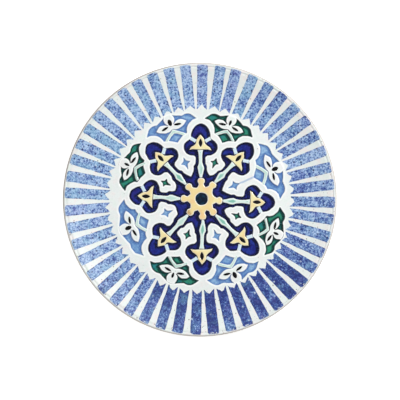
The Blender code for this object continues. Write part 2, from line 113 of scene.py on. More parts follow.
class PlateColours(bpy.types.PropertyGroup):
    slip: colour("Slip", "White slip in the well", (0.79, 0.83, 0.815))
    slip_warm: colour("Warm slip", "Cream and pink tinges in the slip", (0.84, 0.78, 0.76))
    slip_green: colour("Green slip", "Faint green tinges in the slip", (0.75, 0.83, 0.77))
    # painted highlight: the bright band beside pool edges, also laid on yellow and mint edges
    painted_edge_highlight: colour("Slip bead", "Bright bead of slip round a pool", (0.92, 0.93, 0.92))
    slip_grey: colour("Grey slip", "Thin slip", (0.69, 0.735, 0.73))
    # dark glaze line at edges, and also painted shade on edges facing away from the key light
    contour_and_shade: colour("Contour", "Dark glaze drawn up the edge of a motif", (0.003, 0.005, 0.020))
    speck: colour("Speck", "Iron specks in the slip", (0.10, 0.075, 0.055))
    stripe_pale: colour("Pale stripe", "Cobalt at its thinnest", (0.45, 0.60, 0.82))
    stripe_light: colour("Light stripe", "Thin cobalt", (0.285, 0.425, 0.665))
    stripe_mid: colour("Mid stripe", "Cobalt", (0.110, 0.215, 0.490))
    stripe_dark: colour("Dark stripe", "Thick cobalt", (0.022, 0.066, 0.315))
    stripe_deep: colour("Deep stripe", "Cobalt at its thickest", (0.006, 0.020, 0.17))
    stripe_teal: colour("Teal tint", "Green tinge of some stripes", (0.20, 0.46, 0.60))
    stripe_violet: colour("Violet tint", "Violet tinge of others", (0.20, 0.20, 0.55))
    stripe_dot: colour("Dot", "Cobalt settled in pits", (0.006, 0.014, 0.12))
    chip: colour("Chip", "Slip that shows through a stripe", (0.62, 0.72, 0.82))
    navy: colour("Navy", "Ground of the star", (0.010, 0.016, 0.19))
    navy_violet: colour("Violet", "Violet wash in the navy", (0.020, 0.013, 0.16))
    navy_wash: colour("Navy wash", "Thin places in the navy", (0.022, 0.055, 0.36))
    # thick navy, and also painted shadow beside walls and motifs on the key light's side
    pooled_and_shaded: colour("Pooled glaze", "Navy where it runs thick", (0.002, 0.003, 0.022))
    sky: colour("Sky", "Blue spaces", (0.16, 0.32, 0.58))
    # thick blue, and also painted shadow beside walls on the key light's side
    sky_edge: colour("Sky edge", "Blue where it runs thick", (0.06, 0.14, 0.40))
    sky_wash: colour("Sky wash", "Thin places in the blue", (0.30, 0.48, 0.68))
    green: colour("Green", "Green spaces", (0.030, 0.25, 0.150))
    # thick green, and also painted shadow beside walls on the key light's side
    green_edge: colour("Green edge", "Green where it runs thick", (0.001, 0.03, 0.025))
    green_wash: colour("Green wash", "Teal places in the green", (0.020, 0.20, 0.24))
    yellow: colour("Yellow", "Star and lilies", (0.84, 0.67, 0.32))
    peach: colour("Peach", "Peach wash in the yellow", (0.85, 0.54, 0.27))
    lemon: colour("Lemon", "Thin places in the yellow", (0.87, 0.79, 0.42))
    toast: colour("Toast", "Brown spot in the yellow", (0.34, 0.18, 0.06))
    toast_speck: colour("Toast speck", "Brown specks in the yellow", (0.30, 0.16, 0.06))
    mint: colour("Mint", "Stems and leaves", (0.66, 0.82, 0.75))
    mint_stroke: colour("Green stroke", "Stroke along stems and leaves", (0.17, 0.46, 0.36))
    tie: colour("Tie", "Pale blue of the ties", (0.60, 0.76, 0.86))
    ink: colour("Ink", "Seeds and the marks on petals", (0.004, 0.004, 0.006))
    ink_thin: colour("Thin ink", "Ink where it is thin", (0.010, 0.009, 0.010))
    eye: colour("Eye", "Eye of the star", (0.002, 0.008, 0.022))
    eye_teal: colour("Eye teal", "Teal in the eye", (0.004, 0.034, 0.070))
    slip_worn: colour("Worn slip", "Slip that runs off the lip", (0.60, 0.56, 0.53))
    lip: colour("Lip", "Worn slip and clay on the lip", (0.40, 0.36, 0.32))
    # laid on the lip's upper-left side, which comes out darker
    lip_dark: colour("Dark lip", "Where the lip has lost its slip", (0.30, 0.26, 0.24))
    clay: colour("Clay", "Bare fired clay", (0.50, 0.38, 0.27))
    clay_dark: colour("Dark clay", "Toasted clay", (0.33, 0.25, 0.18))
    grog: colour("Grog", "Pale grains in the clay", (0.62, 0.52, 0.40))
    clay_speck: colour("Clay speck", "Iron specks in the clay", (0.12, 0.08, 0.06))
    back: colour("Back glaze", "Glaze under the rim", (0.72, 0.71, 0.66))
    back_thin: colour("Thin back glaze", "Where the clay shows through", (0.62, 0.60, 0.53))


class PlateStage(bpy.types.PropertyGroup):
    lens: FloatProperty(name="Lens", description="Focal length in mm", default=200.0)
    camera_height: length("Camera height", "Height of the camera over the table", 2.456)
    key_power: FloatProperty(name="Key light", description="Power of the main light",
                             default=23.0, unit="POWER")
    fill_power: FloatProperty(name="Fill lights", description="Power of each fill light",
                              default=8.0, unit="POWER")
    sky_light: FloatProperty(name="Room light", description="Light from all round",
                             default=0.38)


# --- Arithmetic on node trees ---
class Value:
    """An output socket of a node tree.  Arithmetic on a number adds Math nodes."""

    def __init__(self, graph, socket):
        self.graph = graph
        self.socket = socket

    def math(self, operation, *values):
        return self.graph.add("ShaderNodeMath", {"operation": operation},
                              dict(enumerate(values)))

    def __add__(self, other):
        return self.math("ADD", self, other)

    def __sub__(self, other):
        return self.math("SUBTRACT", self, other)

    def __rsub__(self, other):
        return self.math("SUBTRACT", other, self)

    def __mul__(self, other):
        return self.math("MULTIPLY", self, other)

    def __truediv__(self, other):
        return self.math("DIVIDE", self, other)

    def __pow__(self, other):
        return self.math("POWER", self, other)

    def __lt__(self, other):
        return self.math("LESS_THAN", self, other)

    def __abs__(self):
        return self.math("ABSOLUTE", self)

    __radd__ = __add__
    __rmul__ = __mul__


class Graph:
    """A node tree, shader or geometry, filled from Python expressions."""

    def __init__(self, tree):
        self.tree = tree
        tree.nodes.clear()

    def add(self, kind, settings=None, inputs=None, output=0):
        """Adds a node: its settings first, then the values or links of its sockets."""
        node = self.tree.nodes.new(kind)
        for name, value in (settings or {}).items():
            if name == "stops":
                ramp = node.color_ramp.elements
                while len(ramp) < len(value):
                    ramp.new(1.0)
                for stop, (position, tint) in zip(ramp, value):
                    stop.position = position
                    stop.color = (*tint, 1.0)
            else:
                setattr(node, name, value)
        for name, value in (inputs or {}).items():
            if isinstance(value, Value):
                self.tree.links.new(value.socket, node.inputs[name])
            else:
                node.inputs[name].default_value = value
        if isinstance(output, tuple):
            return [Value(self, node.outputs[name]) for name in output]
        return Value(self, node.outputs[output]) if node.outputs else node

    def smooth(self, value, start, end):
        """0 where value is at start, 1 where it is at end, with a smooth step between."""
        return self.add("ShaderNodeMapRange", {"interpolation_type": "SMOOTHSTEP"},
                        {0: value, 1: start, 2: end})

    def xyz(self, x, y, z):
        return self.add("ShaderNodeCombineXYZ", None, {0: x, 1: y, 2: z})

    def noise(self, where, scale, detail=2.0, roughness=0.5):
        return self.add("ShaderNodeTexNoise", None,
                        {"Vector": where, "Scale": scale, "Detail": detail,
                         "Roughness": roughness})


class Paint(Graph):
    """The shader tree of one glaze or clay, in millimetres on Object coordinates."""

    def __init__(self, name):
        self.material = bpy.data.materials.new(name)
        self.material.use_nodes = True
        super().__init__(self.material.node_tree)
        metres = self.add("ShaderNodeTexCoord", output="Object")
        self.place = self.add("ShaderNodeVectorMath", {"operation": "SCALE"},
                              {0: metres, "Scale": 1.0 / MM})

    def shifted(self, x, y):
        """The place in millimetres, moved so that a pattern isn't the same twice."""
        return self.add("ShaderNodeVectorMath", {"operation": "ADD"},
                        {0: self.place, 1: (x, y, 0.0)})

    def radius(self):
        flat = self.add("ShaderNodeVectorMath", {"operation": "MULTIPLY"},
                        {0: self.place, 1: (1.0, 1.0, 0.0)})
        return self.add("ShaderNodeVectorMath", {"operation": "LENGTH"}, {0: flat},
                        output="Value")

    def towards(self, angle):
        """How far the place lies from the plate's axis in the direction at angle."""
        direction = (cos(radians(angle)), sin(radians(angle)), 0.0)
        return self.add("ShaderNodeVectorMath", {"operation": "DOT_PRODUCT"},
                        {0: self.place, 1: direction}, output="Value")

    def attribute(self, name):
        return self.add("ShaderNodeAttribute", {"attribute_name": name}, output="Fac")

    def mix(self, factor, first, second):
        colours = {0: factor}
        for socket, tint in ((6, first), (7, second)):
            colours[socket] = tint if isinstance(tint, Value) else (*tint, 1.0)
        return self.add("ShaderNodeMix", {"data_type": "RGBA"}, colours, output=2)

    def specks(self, spacing, size, share, shift=0.0):
        """Round dots of uneven size: about share of the cells of width spacing has one."""
        distance, tint = self.add(
            "ShaderNodeTexVoronoi", {"voronoi_dimensions": "2D"},
            {"Vector": self.shifted(shift, -shift), "Scale": 1.0 / spacing},
            output=("Distance", "Color"))
        chance, girth, depth = self.add("ShaderNodeSeparateColor", None, {0: tint},
                                        output=(0, 1, 2))
        edge = (0.35 + girth) * (size / spacing)
        return self.smooth(distance / edge, 1.0, 0.45) * (chance < share) * (0.4 + depth * 0.6)

    def finish(self, base, roughness, height, bump_mm, coat=0.0, gloss=0.5):
        """Principled surface: base and roughness may vary, height feeds the bump."""
        bump = self.add("ShaderNodeBump", None,
                        {"Strength": 1.0, "Distance": bump_mm * MM, "Height": height},
                        output="Normal")
        shader = self.add("ShaderNodeBsdfPrincipled", None,
                          {"Base Color": base, "Roughness": roughness, "Normal": bump,
                           "Coat Weight": coat, "Coat Roughness": 0.08,
                           "Specular IOR Level": gloss})
        self.add("ShaderNodeOutputMaterial", None, {"Surface": shader})
        return self.material


# --- Outlines, in millimetres ---
WELD = 0.001                 # points of a CAD node closer than this are one point
HAND_SEED = 5                # the hand that drew the lines strays the same way each time
WOBBLE_SCALE = 0.23          # how quickly a drawn line strays from side to side
WOBBLE_SHARE = 1.6           # the noise seldom reaches its full size


def sizes():
    return bpy.context.scene.plate_sizes


def tints():
    return bpy.context.scene.plate_colours


def merged(node):
    """A copy of a CAD node's mesh with its loose triangles joined."""
    builder = bmesh.new()
    builder.from_mesh(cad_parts[node].data)
    bmesh.ops.remove_doubles(builder, verts=builder.verts, dist=WELD * MM)
    builder.verts.index_update()
    builder.faces.index_update()
    return builder


def cap_outlines(node, height=None):
    """Closed outlines of a CAD node's flat face at a height, or else at its top."""
    builder = merged(node)
    top = (level(node, HIGH) if height is None else height) * MM
    cap = [face for face in builder.faces if face.normal.z > 0.9
           and all(abs(vert.co.z - top) < 10 * WELD * MM for vert in face.verts)]
    inside = {face.index for face in cap}
    following = {}
    for face in cap:
        for corner in face.loops:
            beside = {other.index for other in corner.edge.link_faces} - {face.index}
            if not beside & inside:
                following[corner.vert.index] = corner.link_loop_next.vert.index
    places = [(vert.co.x / MM, vert.co.y / MM) for vert in builder.verts]
    builder.free()
    outlines = []
    while following:
        index = next(iter(following))
        outline = []
        while index in following:
            outline.append(places[index])
            index = following.pop(index)
        outlines.append(np.array(outline))
    return sorted(outlines, key=lambda outline: -abs(enclosed(outline)))


def enclosed(outline):
    """The outline's area, negative where it runs clockwise."""
    x, y = outline.T
    return 0.5 * float(np.sum(x * np.roll(y, -1) - np.roll(x, -1) * y))


def refined(outline, corner, step):
    """Catmull-Rom curves through the outline, sharp where it turns by more than corner."""
    count = len(outline)
    back = outline - np.roll(outline, 1, 0)
    on = np.roll(outline, -1, 0) - outline
    turn = np.degrees(np.arctan2(back[:, 0] * on[:, 1] - back[:, 1] * on[:, 0],
                                 (back * on).sum(1)))
    sharp = np.abs(turn) > corner
    points = []
    for index in range(count):
        start, end = outline[index], outline[(index + 1) % count]
        before = 2 * start - end if sharp[index] else outline[index - 1]
        after = 2 * end - start if sharp[(index + 1) % count] else outline[(index + 2) % count]
        pieces = max(1, ceil(np.hypot(*(end - start)) / step))
        for t in np.arange(pieces) / pieces:
            points.append(0.5 * (2 * start + (end - before) * t
                                 + (2 * before - 5 * start + 4 * end - after) * t ** 2
                                 + (3 * start - before - 3 * end + after) * t ** 3))
    return np.array(points)


def drawn(outline, corner):
    """An outline as a hand draws it: smooth between its corners, straying a little."""
    noise.seed_set(HAND_SEED)
    outline = refined(outline, corner, sizes().outline_step / MM)
    reach = sizes().hand_wobble / MM * WOBBLE_SHARE
    stray = [noise.noise_vector(Vector((x * WOBBLE_SCALE, y * WOBBLE_SCALE, 7.0))) * reach
             for x, y in outline]
    return outline + np.array(stray)[:, :2]


def normals(outline):
    """Unit vectors to the left of the outline, which is its inner side."""
    along = np.roll(outline, -1, 0) - np.roll(outline, 1, 0)
    across = np.stack([-along[:, 1], along[:, 0]], 1)
    return across / np.maximum(np.linalg.norm(across, axis=1, keepdims=True), 1e-9)


class Edges:
    """Answers how far points are from a set of outlines."""

    def __init__(self, outlines):
        self.outlines = outlines
        self.here = np.concatenate(outlines)
        self.sides = [np.concatenate([np.roll(o, shift, 0) for o in outlines])
                      for shift in (1, -1)]
        self.tree = kdtree.KDTree(len(self.here))
        for index, (x, y) in enumerate(self.here):
            self.tree.insert((x, y, 0.0), index)
        self.tree.balance()

    def distance(self, points):
        nearest = np.array([self.tree.find((x, y, 0.0))[1] for x, y in points], int)
        start = self.here[nearest]
        best = np.full(len(points), 1e9)
        for side in self.sides:
            along = side[nearest] - start
            share = ((points - start) * along).sum(1) / np.maximum((along ** 2).sum(1), 1e-12)
            foot = start + along * np.clip(share, 0, 1)[:, None]
            best = np.minimum(best, np.linalg.norm(points - foot, axis=1))
        return best


def crossings(outlines, y):
    """Sorted places along a level line where it crosses the outlines."""
    start = np.concatenate(outlines)
    end = np.concatenate([np.roll(outline, -1, 0) for outline in outlines])
    crossed = (start[:, 1] > y) != (end[:, 1] > y)
    start, end = start[crossed], end[crossed]
    return np.sort(start[:, 0] + (y - start[:, 1]) * (end[:, 0] - start[:, 0])
                   / (end[:, 1] - start[:, 1]))


def grid_inside(outlines, spacing):
    """Points of a triangular grid that lie inside the outlines."""
    low = np.concatenate(outlines).min(0)
    high = np.concatenate(outlines).max(0)
    found = []
    for row, y in enumerate(np.arange(low[1], high[1], spacing * sin(pi / 3))):
        x = np.arange(low[0] + row % 2 * spacing / 2, high[0], spacing)
        x = x[np.searchsorted(crossings(outlines, y), x) % 2 == 1]
        found.append(np.stack([x, np.full(len(x), y)], 1))
    return np.concatenate(found)


def fill(outlines, extra):
    """Triangles over the outlines' points, then the extra points, counter-clockwise."""
    points = np.concatenate([*outlines, extra]) if len(extra) else np.concatenate(outlines)
    edges = []
    for outline in outlines:
        first = len(edges)
        edges += [(first + index, first + (index + 1) % len(outline))
                  for index in range(len(outline))]
    found, _, faces, origins, _, _ = delaunay_2d_cdt(points.tolist(), edges, [], 0, 1e-5)
    numbers = [origin[0] if origin else int(np.argmin(np.linalg.norm(points - place, axis=1)))
               for place, origin in zip(found, origins)]
    triangles = np.array([[numbers[corner] for corner in face] for face in faces])
    triangles = triangles[[len(set(triangle)) == 3 for triangle in triangles.tolist()]]
    middles = points[triangles].mean(1)
    keep = np.ones(len(triangles), bool)
    for index in np.flatnonzero((triangles < len(edges)).all(1)):
        x, y = middles[index]
        keep[index] = np.searchsorted(crossings(outlines, y), x) % 2 == 1
    triangles = triangles[keep]
    a, b, c = (points[triangles[:, corner]] for corner in range(3))
    area = (b[:, 0] - a[:, 0]) * (c[:, 1] - a[:, 1]) - (c[:, 0] - a[:, 0]) * (b[:, 1] - a[:, 1])
    triangles[area < 0] = triangles[area < 0][:, ::-1]
    return points, triangles[np.abs(area) > 1e-7]


# --- Meshes ---
POINT_SPACING = 0.9          # of the points that shape a top, away from its edges
RING_OFFSETS = (0.15, 0.35, 0.65, 1.0, 1.5)     # lines of points beside an edge
RING_SHARE = 0.92            # a point closer to another edge than this share is left out
# Beside walls on the key light's side, glaze ran thick as the plate dried on a slope, and
# painted shadow darkens it too.
SHADE_AND_RUN_OFFSET = (1.5, 0.65)      # glaze run and painted shadow: towards the key light
RUN_STEPS = (0.0, 0.33, 0.67, 1.0)
# On raised edges the darkening sits on the side away from the key light, as painted shade.
RAISED_SHADE_AND_RUN = -0.35           # share on raised edges: glaze and painted shade
FAR = 20.0                   # a distance from any edge, for points that aren't on the top
TURNED_ANGLE, STROKE_ANGLE = 48.0, 50.0      # surfaces are smooth up to these angles
TURNED_STEPS = 240           # steps round a turned piece


def linked(name, data):
    """A new object in the scene."""
    made = bpy.data.objects.new(name, data)
    bpy.context.collection.objects.link(made)
    return made


def finish_piece(name, mesh, sharp, node=None):
    """A piece on the plate's body, smooth up to an angle, in place of its CAD node."""
    mesh.shade_smooth()
    mesh.set_sharp_from_angle(angle=radians(sharp))
    piece = linked(name, mesh)
    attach(piece, BODY)
    if node is not None:
        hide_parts(node)


def add_piece(name, verts, faces, material, node, attributes=None):
    """A piece from points in millimetres, with numbers stored at its points."""
    mesh = bpy.data.meshes.new(name)
    mesh.from_pydata((np.asarray(verts) * MM).tolist(), [], faces)
    for key, values in (attributes or {}).items():
        mesh.attributes.new(key, "FLOAT", "POINT").data.foreach_set("value", values)
    mesh.materials.append(material)
    finish_piece(name, mesh, TURNED_ANGLE, node)


def wall(lower, upper):
    """Quads between two rings of point numbers, facing outwards when upper is inside."""
    after = np.roll(lower, -1), np.roll(upper, -1)
    return np.stack([lower, after[0], after[1], upper], 1).tolist()


def edge_points(outlines, edges, spacing, limit):
    """Points inside the outlines: lines that follow the edges, then a triangular grid."""
    rings = []
    for outline in edges.outlines:
        for offset in RING_OFFSETS:
            ring = outline + normals(outline) * offset
            rings.append(ring[edges.distance(ring) > RING_SHARE * offset])
    grid = grid_inside(outlines, spacing)
    grid = grid[edges.distance(grid) > RING_OFFSETS[-1] + 0.45 * spacing]
    return np.concatenate([*rings, grid[np.linalg.norm(grid, axis=1) < limit]])


def relief(name, outlines, low, surface, spacing, material, node, rim=(), near=(),
           run=RAISED_SHADE_AND_RUN, dark=()):
    """A closed piece cut to its outlines, with a shaped top.

    surface gives the top's height from the points and their distance from the edges.
    rim is a section that leaves the first outline at the top and comes back to it below.
    near holds outlines that glaze also collects against and that cast painted shadow on it,
    and run says how far the glaze ran and the painted shade reaches towards the key light.
    dark holds those of its edges that have a dark outline with painted shade, where not all
    have one.
    """
    edges = Edges(outlines[1:] if rim else outlines)
    limit = np.linalg.norm(outlines[0][0]) - spacing if rim else np.inf
    points, triangles = fill(outlines, edge_points(outlines, edges, spacing, limit))
    distance = edges.distance(points)
    walls = Edges([*outlines, *near]) if near else Edges(dark) if dark else edges
    pooled_and_shaded = np.min([walls.distance(points + np.array(SHADE_AND_RUN_OFFSET) * run * share)
                     for share in RUN_STEPS], axis=0)
    corners = np.concatenate(outlines)
    base, count = len(points), len(points) + len(corners)
    verts = [np.column_stack([points, surface(points, distance)]),
             np.column_stack([corners, np.full(len(corners), low)])]
    faces = triangles.tolist() + (fill(outlines, ())[1][:, ::-1] + base).tolist()
    first = 0
    for index, outline in enumerate(outlines):
        upper = np.arange(first, first + len(outline))
        first += len(outline)
        lower = upper + base
        directions = outline / np.linalg.norm(outline, axis=1, keepdims=True)
        for radius, height in rim if index == 0 else ():
            ring = np.arange(count, count + len(outline))
            count += len(outline)
            verts.append(np.column_stack([directions * radius, np.full(len(outline), height)]))
            faces += wall(ring, upper)
            upper = ring
        faces += wall(lower, upper)
    attributes = {}
    for key, values in (("pool_distance", pooled_and_shaded), ("edge_distance", distance)):
        beyond = np.full(count - base - len(corners), FAR)
        attributes[key] = np.concatenate([values, values[:len(corners)], beyond])
    add_piece(name, np.concatenate(verts), faces, material, node, attributes)


def rounded(distance, radius, drop):
    """How far a quarter-round edge has fallen at a distance from it."""
    share = 1 - np.clip(distance / radius, 0, 1)
    return drop * (1 - np.sqrt(np.maximum(1 - share ** 2, 0)))


def ripple(points, scale, amount, seed):
    """Slow rises and falls of a surface smoothed by hand."""
    return amount * np.array([noise.noise(Vector((x * scale, y * scale, seed)))
                              for x, y in points])


def smooth_min(a, b, blend):
    """The lower of two heights, with the corner between them rounded."""
    near = np.maximum(blend - np.abs(a - b), 0) / blend
    return np.minimum(a, b) - near ** 3 * blend / 6


RIM_POWER = 1.5              # the rim rises as this power of the way to its crest
RIM_BLEND = 0.5              # rounding where the rise meets the lip
SKIN = 0.12                  # room for the stripes between the slip and the CAD's rim
ON_AXIS = 0.01               # a turned point this near the axis is one point


def rim_height(radius):
    """Height of the slip's surface on the rim, in millimetres."""
    well, crest, lip = (value / MM for value in
                        (sizes().well_radius, sizes().crest_radius, sizes().lip_radius))
    share = np.maximum(radius - well, 0) / (crest - well)
    slope = WELL_TOP - SKIN + (CREST - WELL_TOP) * share ** RIM_POWER
    cap = CREST - SKIN - lip + np.sqrt(np.maximum(lip ** 2 - (radius - crest) ** 2, 0))
    return smooth_min(slope, np.where(radius < crest - lip, 1e3, cap), RIM_BLEND)


def lathe(name, section, wave, material, node):
    """A closed section of (radius, height) turned about the axis, with throwing waves."""
    verts, faces, rings = [], [], []
    directions = [(cos(tau * step / TURNED_STEPS), sin(tau * step / TURNED_STEPS))
                  for step in range(TURNED_STEPS)]
    for radius, height in section:
        first = len(verts)
        if radius < ON_AXIS:
            verts.append((0.0, 0.0, height))
            rings.append(np.full(TURNED_STEPS, first))
            continue
        for x, y in directions:
            lift = wave * noise.noise(Vector((x * 1.7, y * 1.7, radius * 0.05 + height)))
            verts.append((x * radius, y * radius, height + lift))
        rings.append(np.arange(first, first + TURNED_STEPS))
    for lower, upper in zip(rings, rings[1:] + rings[:1]):
        corners = [list(dict.fromkeys(quad)) for quad in wall(lower, upper)]
        faces += [face for face in corners if len(face) > 2]
    add_piece(name, verts, faces, material, node)


def section_of(node, step, corner):
    """A CAD node's section in the plane to its right, refined, bottom to top outside."""
    builder = merged(node)
    reach = 2 * WELD * MM
    cut = [vert for vert in builder.verts if abs(vert.co.y) < reach and vert.co.x > -reach]
    inside = {vert.index for vert in cut}
    links = {vert.index: [edge.other_vert(vert).index for edge in vert.link_edges
                          if edge.other_vert(vert).index in inside] for vert in cut}
    places = {vert.index: (max(vert.co.x / MM, 0.0), vert.co.z / MM) for vert in cut}
    builder.free()
    path = [min(places, key=lambda index: places[index])]
    ahead = links[path[0]]
    while ahead:
        path.append(min(ahead, key=lambda index: places[index][1]) if len(path) == 1
                    else ahead[0])
        ahead = [index for index in links[path[-1]] if index not in path]
    section = refined(np.array([places[index] for index in path]), corner, step)
    return section if enclosed(section) > 0 else section[::-1]


# --- Placing motifs ---
def axis_of(outline):
    """Direction in degrees of a motif's axis, and the radii of its foot and its tip."""
    x, y = outline.mean(0)
    angle = atan2(y, x)
    outline = refined(outline, 60.0, 0.5)
    along = outline @ np.array([cos(angle), sin(angle)])
    across = outline @ np.array([-sin(angle), cos(angle)])
    middle = along[np.abs(across) < 0.6]
    return degrees(angle), middle.min(), middle.max()


def at(angle, along, across=0.0):
    """Plan position beside an axis that leaves the plate's middle at angle."""
    a = radians(angle)
    return (along * cos(a) - across * sin(a), along * sin(a) + across * cos(a))


def mirrored(runs, angle, start, scale):
    """A closed outline from runs of (along, across) on one side of an axis."""
    points = []
    for side, ordered in ((1, runs), (-1, [run[::-1] for run in runs[::-1]])):
        for run in ordered:
            points += [at(angle, start + u * scale, side * v * scale) for u, v in run[:-1]]
    outline = np.array(points)
    return outline if enclosed(outline) > 0 else outline[::-1]


def bent(outline, angle, start, change):
    """The outline with its distance across the axis changed by a function of both."""
    a = radians(angle)
    along = outline @ np.array([cos(a), sin(a)]) - start
    across = outline @ np.array([-sin(a), cos(a)])
    across = change(along, across)
    along = along + start
    return np.stack([along * cos(a) - across * sin(a), along * sin(a) + across * cos(a)], 1)


# --- Finishes ---
FLOOR_GREY, FLOOR_WHITE = (0.93, 0.93, 0.93), (0.95, 0.95, 0.95)
FLOOR_GLOW = 0.45
SMEAR_ANGLE = 22.4           # blue glaze smeared over the slip on one arm


def slip_finish(name, contour_and_shade_tint, contour_and_shade_strength=0.9):
    """Opaque white slip: cool in the well, warm on the rim, with iron specks."""
    p, c = Paint(name), tints()
    cloud = p.noise(p.place, 0.05, 3.0)
    fine = p.noise(p.shifted(40.0, 11.0), 0.7, 3.0, 0.6)
    rim = p.smooth(p.radius(), 99.0, 112.0)
    tinge = p.noise(p.shifted(90.0, 35.0), 0.13, 3.0, 0.6)
    base = p.mix(p.smooth(tinge, 0.50, 0.64) * (0.6 + rim * 0.3), c.slip, c.slip_warm)
    base = p.mix(p.smooth(tinge, 0.48, 0.36) * 0.7, base, c.slip_green)
    base = p.mix(p.smooth(fine, 0.45, 0.75) * 0.6, base, c.slip_grey)
    base = p.mix(p.smooth(cloud, 0.45, 0.7) * 0.3, base, c.slip_grey)
    dots = p.specks(7.0, 0.42, 0.22) + p.specks(4.3, 0.75, 0.10, 9.0) * rim
    south = p.smooth(p.towards(-55.0), 20.0, 90.0)
    dots = dots + p.specks(3.7, 0.70, 0.28, 50.0) * rim * south
    base = p.mix(p.smooth(dots, 0.0, 0.8) * 0.8, base, c.speck)
    lip = p.smooth(p.radius() + cloud * 0.8, 148.2, 149.1)
    base = p.mix(lip * 0.7, base, c.lip)
    gap = p.attribute("edge_distance")
    # painted highlight laid on the band of slip beside each pool edge
    bead = p.smooth(gap, 0.4, 0.9) * (1 - p.smooth(gap, 1.3, 2.6))
    base = p.mix(bead * 0.75, base, c.painted_edge_highlight)
    wall = 1 - p.smooth(gap, 0.0, 0.2)
    base = p.mix(wall * 0.5, base, c.sky_wash)
    # dark outline at pool and motif edges: dark glaze, and painted shade on the edges facing
    # away from the key light
    contour_and_shade = 1 - p.smooth(p.attribute("pool_distance") + (fine - 0.5) * 0.4, 0.1, 0.42)
    base = p.mix(contour_and_shade * contour_and_shade_strength, base, contour_and_shade_tint)
    run = p.towards(SMEAR_ANGLE)
    aside = abs(p.towards(SMEAR_ANGLE + 90.0) + (cloud - 0.5) * 3.0)
    smear = p.smooth(run, 46.0, 48.0) * p.smooth(run, 66.0, 64.0) * p.smooth(aside, 1.6, 0.3)
    base = p.mix(smear * 0.6, base, c.sky)
    height = fine * 0.35 + p.noise(p.place, 0.16, 2.0)
    return p.finish(base, 0.30 + fine * 0.16, height, 0.18, 0.15)


def stripe_finish(name):
    """Stippled cobalt brushed on the rim: tone comes from each stripe's own load."""
    p, c = Paint(name), tints()
    tone = p.attribute("tone")
    tint = p.attribute("tint") + (p.noise(p.shifted(55.0, 20.0), 0.10, 2.0) - 0.5) * 3.0
    across = p.attribute("across")
    stipple = p.noise(p.place, 0.46, 3.0, 0.62)
    fleck = p.noise(p.shifted(17.0, 5.0), 1.5, 1.0)
    wash = p.noise(p.shifted(3.0, 61.0), 0.11, 2.0)
    load = tone + (stipple - 0.5) * (3.1 - tone) + (fleck - 0.5) * 1.7 + (wash - 0.5) * 1.0
    load = load + p.smooth(abs(across), 0.80, 1.0) * 0.10
    stops = [(0.0, tuple(c.stripe_pale)), (0.28, tuple(c.stripe_light)),
             (0.52, tuple(c.stripe_mid)), (0.76, tuple(c.stripe_dark)),
             (1.0, tuple(c.stripe_deep))]
    base = p.add("ShaderNodeValToRGB", {"stops": stops}, {0: load})
    base = p.mix(p.smooth(tint, 0.0, -1.0) * 0.35, base, c.stripe_teal)
    base = p.mix(p.smooth(tint, 0.0, 1.0) * 0.35, base, c.stripe_violet)
    edge = p.smooth(abs(across), 0.55, 0.95)
    dots = p.specks(4.6, 1.05, 0.50) + p.specks(3.4, 1.3, 0.60, 23.0) * edge
    base = p.mix(p.smooth(dots, 0.0, 0.7) * 0.95, base, c.stripe_dot)
    pale = p.specks(7.0, 1.3, 0.28, 31.0) * p.smooth(fleck, 0.44, 0.56)
    base = p.mix(p.smooth(pale, 0.0, 0.7) * 0.85, base, c.chip)
    west = p.smooth(p.towards(145.0) + (wash - 0.5) * 60.0, 105.0, 135.0)
    rim = p.smooth(p.radius() + (stipple - 0.5) * 1.5, 147.0, 148.0) * west
    base = p.mix(rim * 0.8, base, c.stripe_deep)
    return p.finish(base, 0.34 + stipple * 0.2, stipple + fleck * 0.4, 0.10, 0.1)


def pool_finish(name, base_tint, edge_tint, wash_tint, start, pool_and_shade_width, depth=0.96,
                wash=0.8, violet=None):
    """Glaze that has run in its pool: dark where it is thick against the walls, with painted
    shadow beside the walls and motifs on the key light's side.
    """
    p = Paint(name)
    stroke = p.noise(p.place, 0.12, 3.0, 0.6)
    patch = p.noise(p.shifted(25.0, 70.0), 0.06, 2.0)
    grain = p.noise(p.place, 0.55, 3.0)
    base = p.mix(p.smooth(stroke, 0.46, 0.64) * wash, base_tint, wash_tint)
    if violet is not None:
        base = p.mix(p.smooth(patch, 0.45, 0.65) * 0.7, base, violet)
    gap = p.attribute("pool_distance") + (stroke - 0.5) * 0.9
    # thick glaze against the walls, and painted shadow beside those on the key light's side
    base = p.mix((1 - p.smooth(gap, start, start + pool_and_shade_width)) * depth, base, edge_tint)
    base = p.mix(p.smooth(grain, 0.50, 0.70) * 0.4, base, edge_tint)
    base = p.mix(p.smooth(grain, 0.48, 0.32) * 0.35, base, wash_tint)
    return p.finish(base, 0.12 + grain * 0.14, stroke + grain * 0.25, 0.16, 0.08, 0.25)


def yellow_finish(name, lemon, pale, stain=None):
    """Yellow glaze with peach washes.

    Lemon is how much of it is thin, pale is how strongly a painted highlight whitens its
    edges, and stain is the place of a toasted spot.
    """
    p, c = Paint(name), tints()
    wash = p.noise(p.place, 0.10, 3.0)
    patch = p.noise(p.shifted(31.0, 12.0), 0.07, 2.0)
    grain = p.noise(p.place, 1.1, 2.0)
    base = p.mix(p.smooth(wash, 0.50, 0.66) * 0.6, c.yellow, c.peach)
    base = p.mix(p.smooth(patch, 0.62 - lemon * 0.3, 0.72 - lemon * 0.2) * 0.85, base, c.lemon)
    base = p.mix(p.specks(5.0, 0.3, 0.15) * 0.5, base, c.toast_speck)
    if stain is not None:
        away = p.add("ShaderNodeVectorMath", {"operation": "DISTANCE"},
                     {0: p.place, 1: (*stain, WELL_TOP)}, output="Value")
        toast = (1 - p.smooth(away, 2.0, 6.5)) * (0.4 + p.smooth(grain, 0.45, 0.60) * 0.6)
        base = p.mix(toast, base, c.toast)
    gap = p.attribute("edge_distance") + (wash - 0.5) * 0.8
    # painted highlight along the edges
    base = p.mix((1 - p.smooth(gap, 0.5, 1.1)) * pale, base, c.painted_edge_highlight)
    return p.finish(base, 0.18 + grain * 0.14, wash + grain * 0.3, 0.15, 0.4)


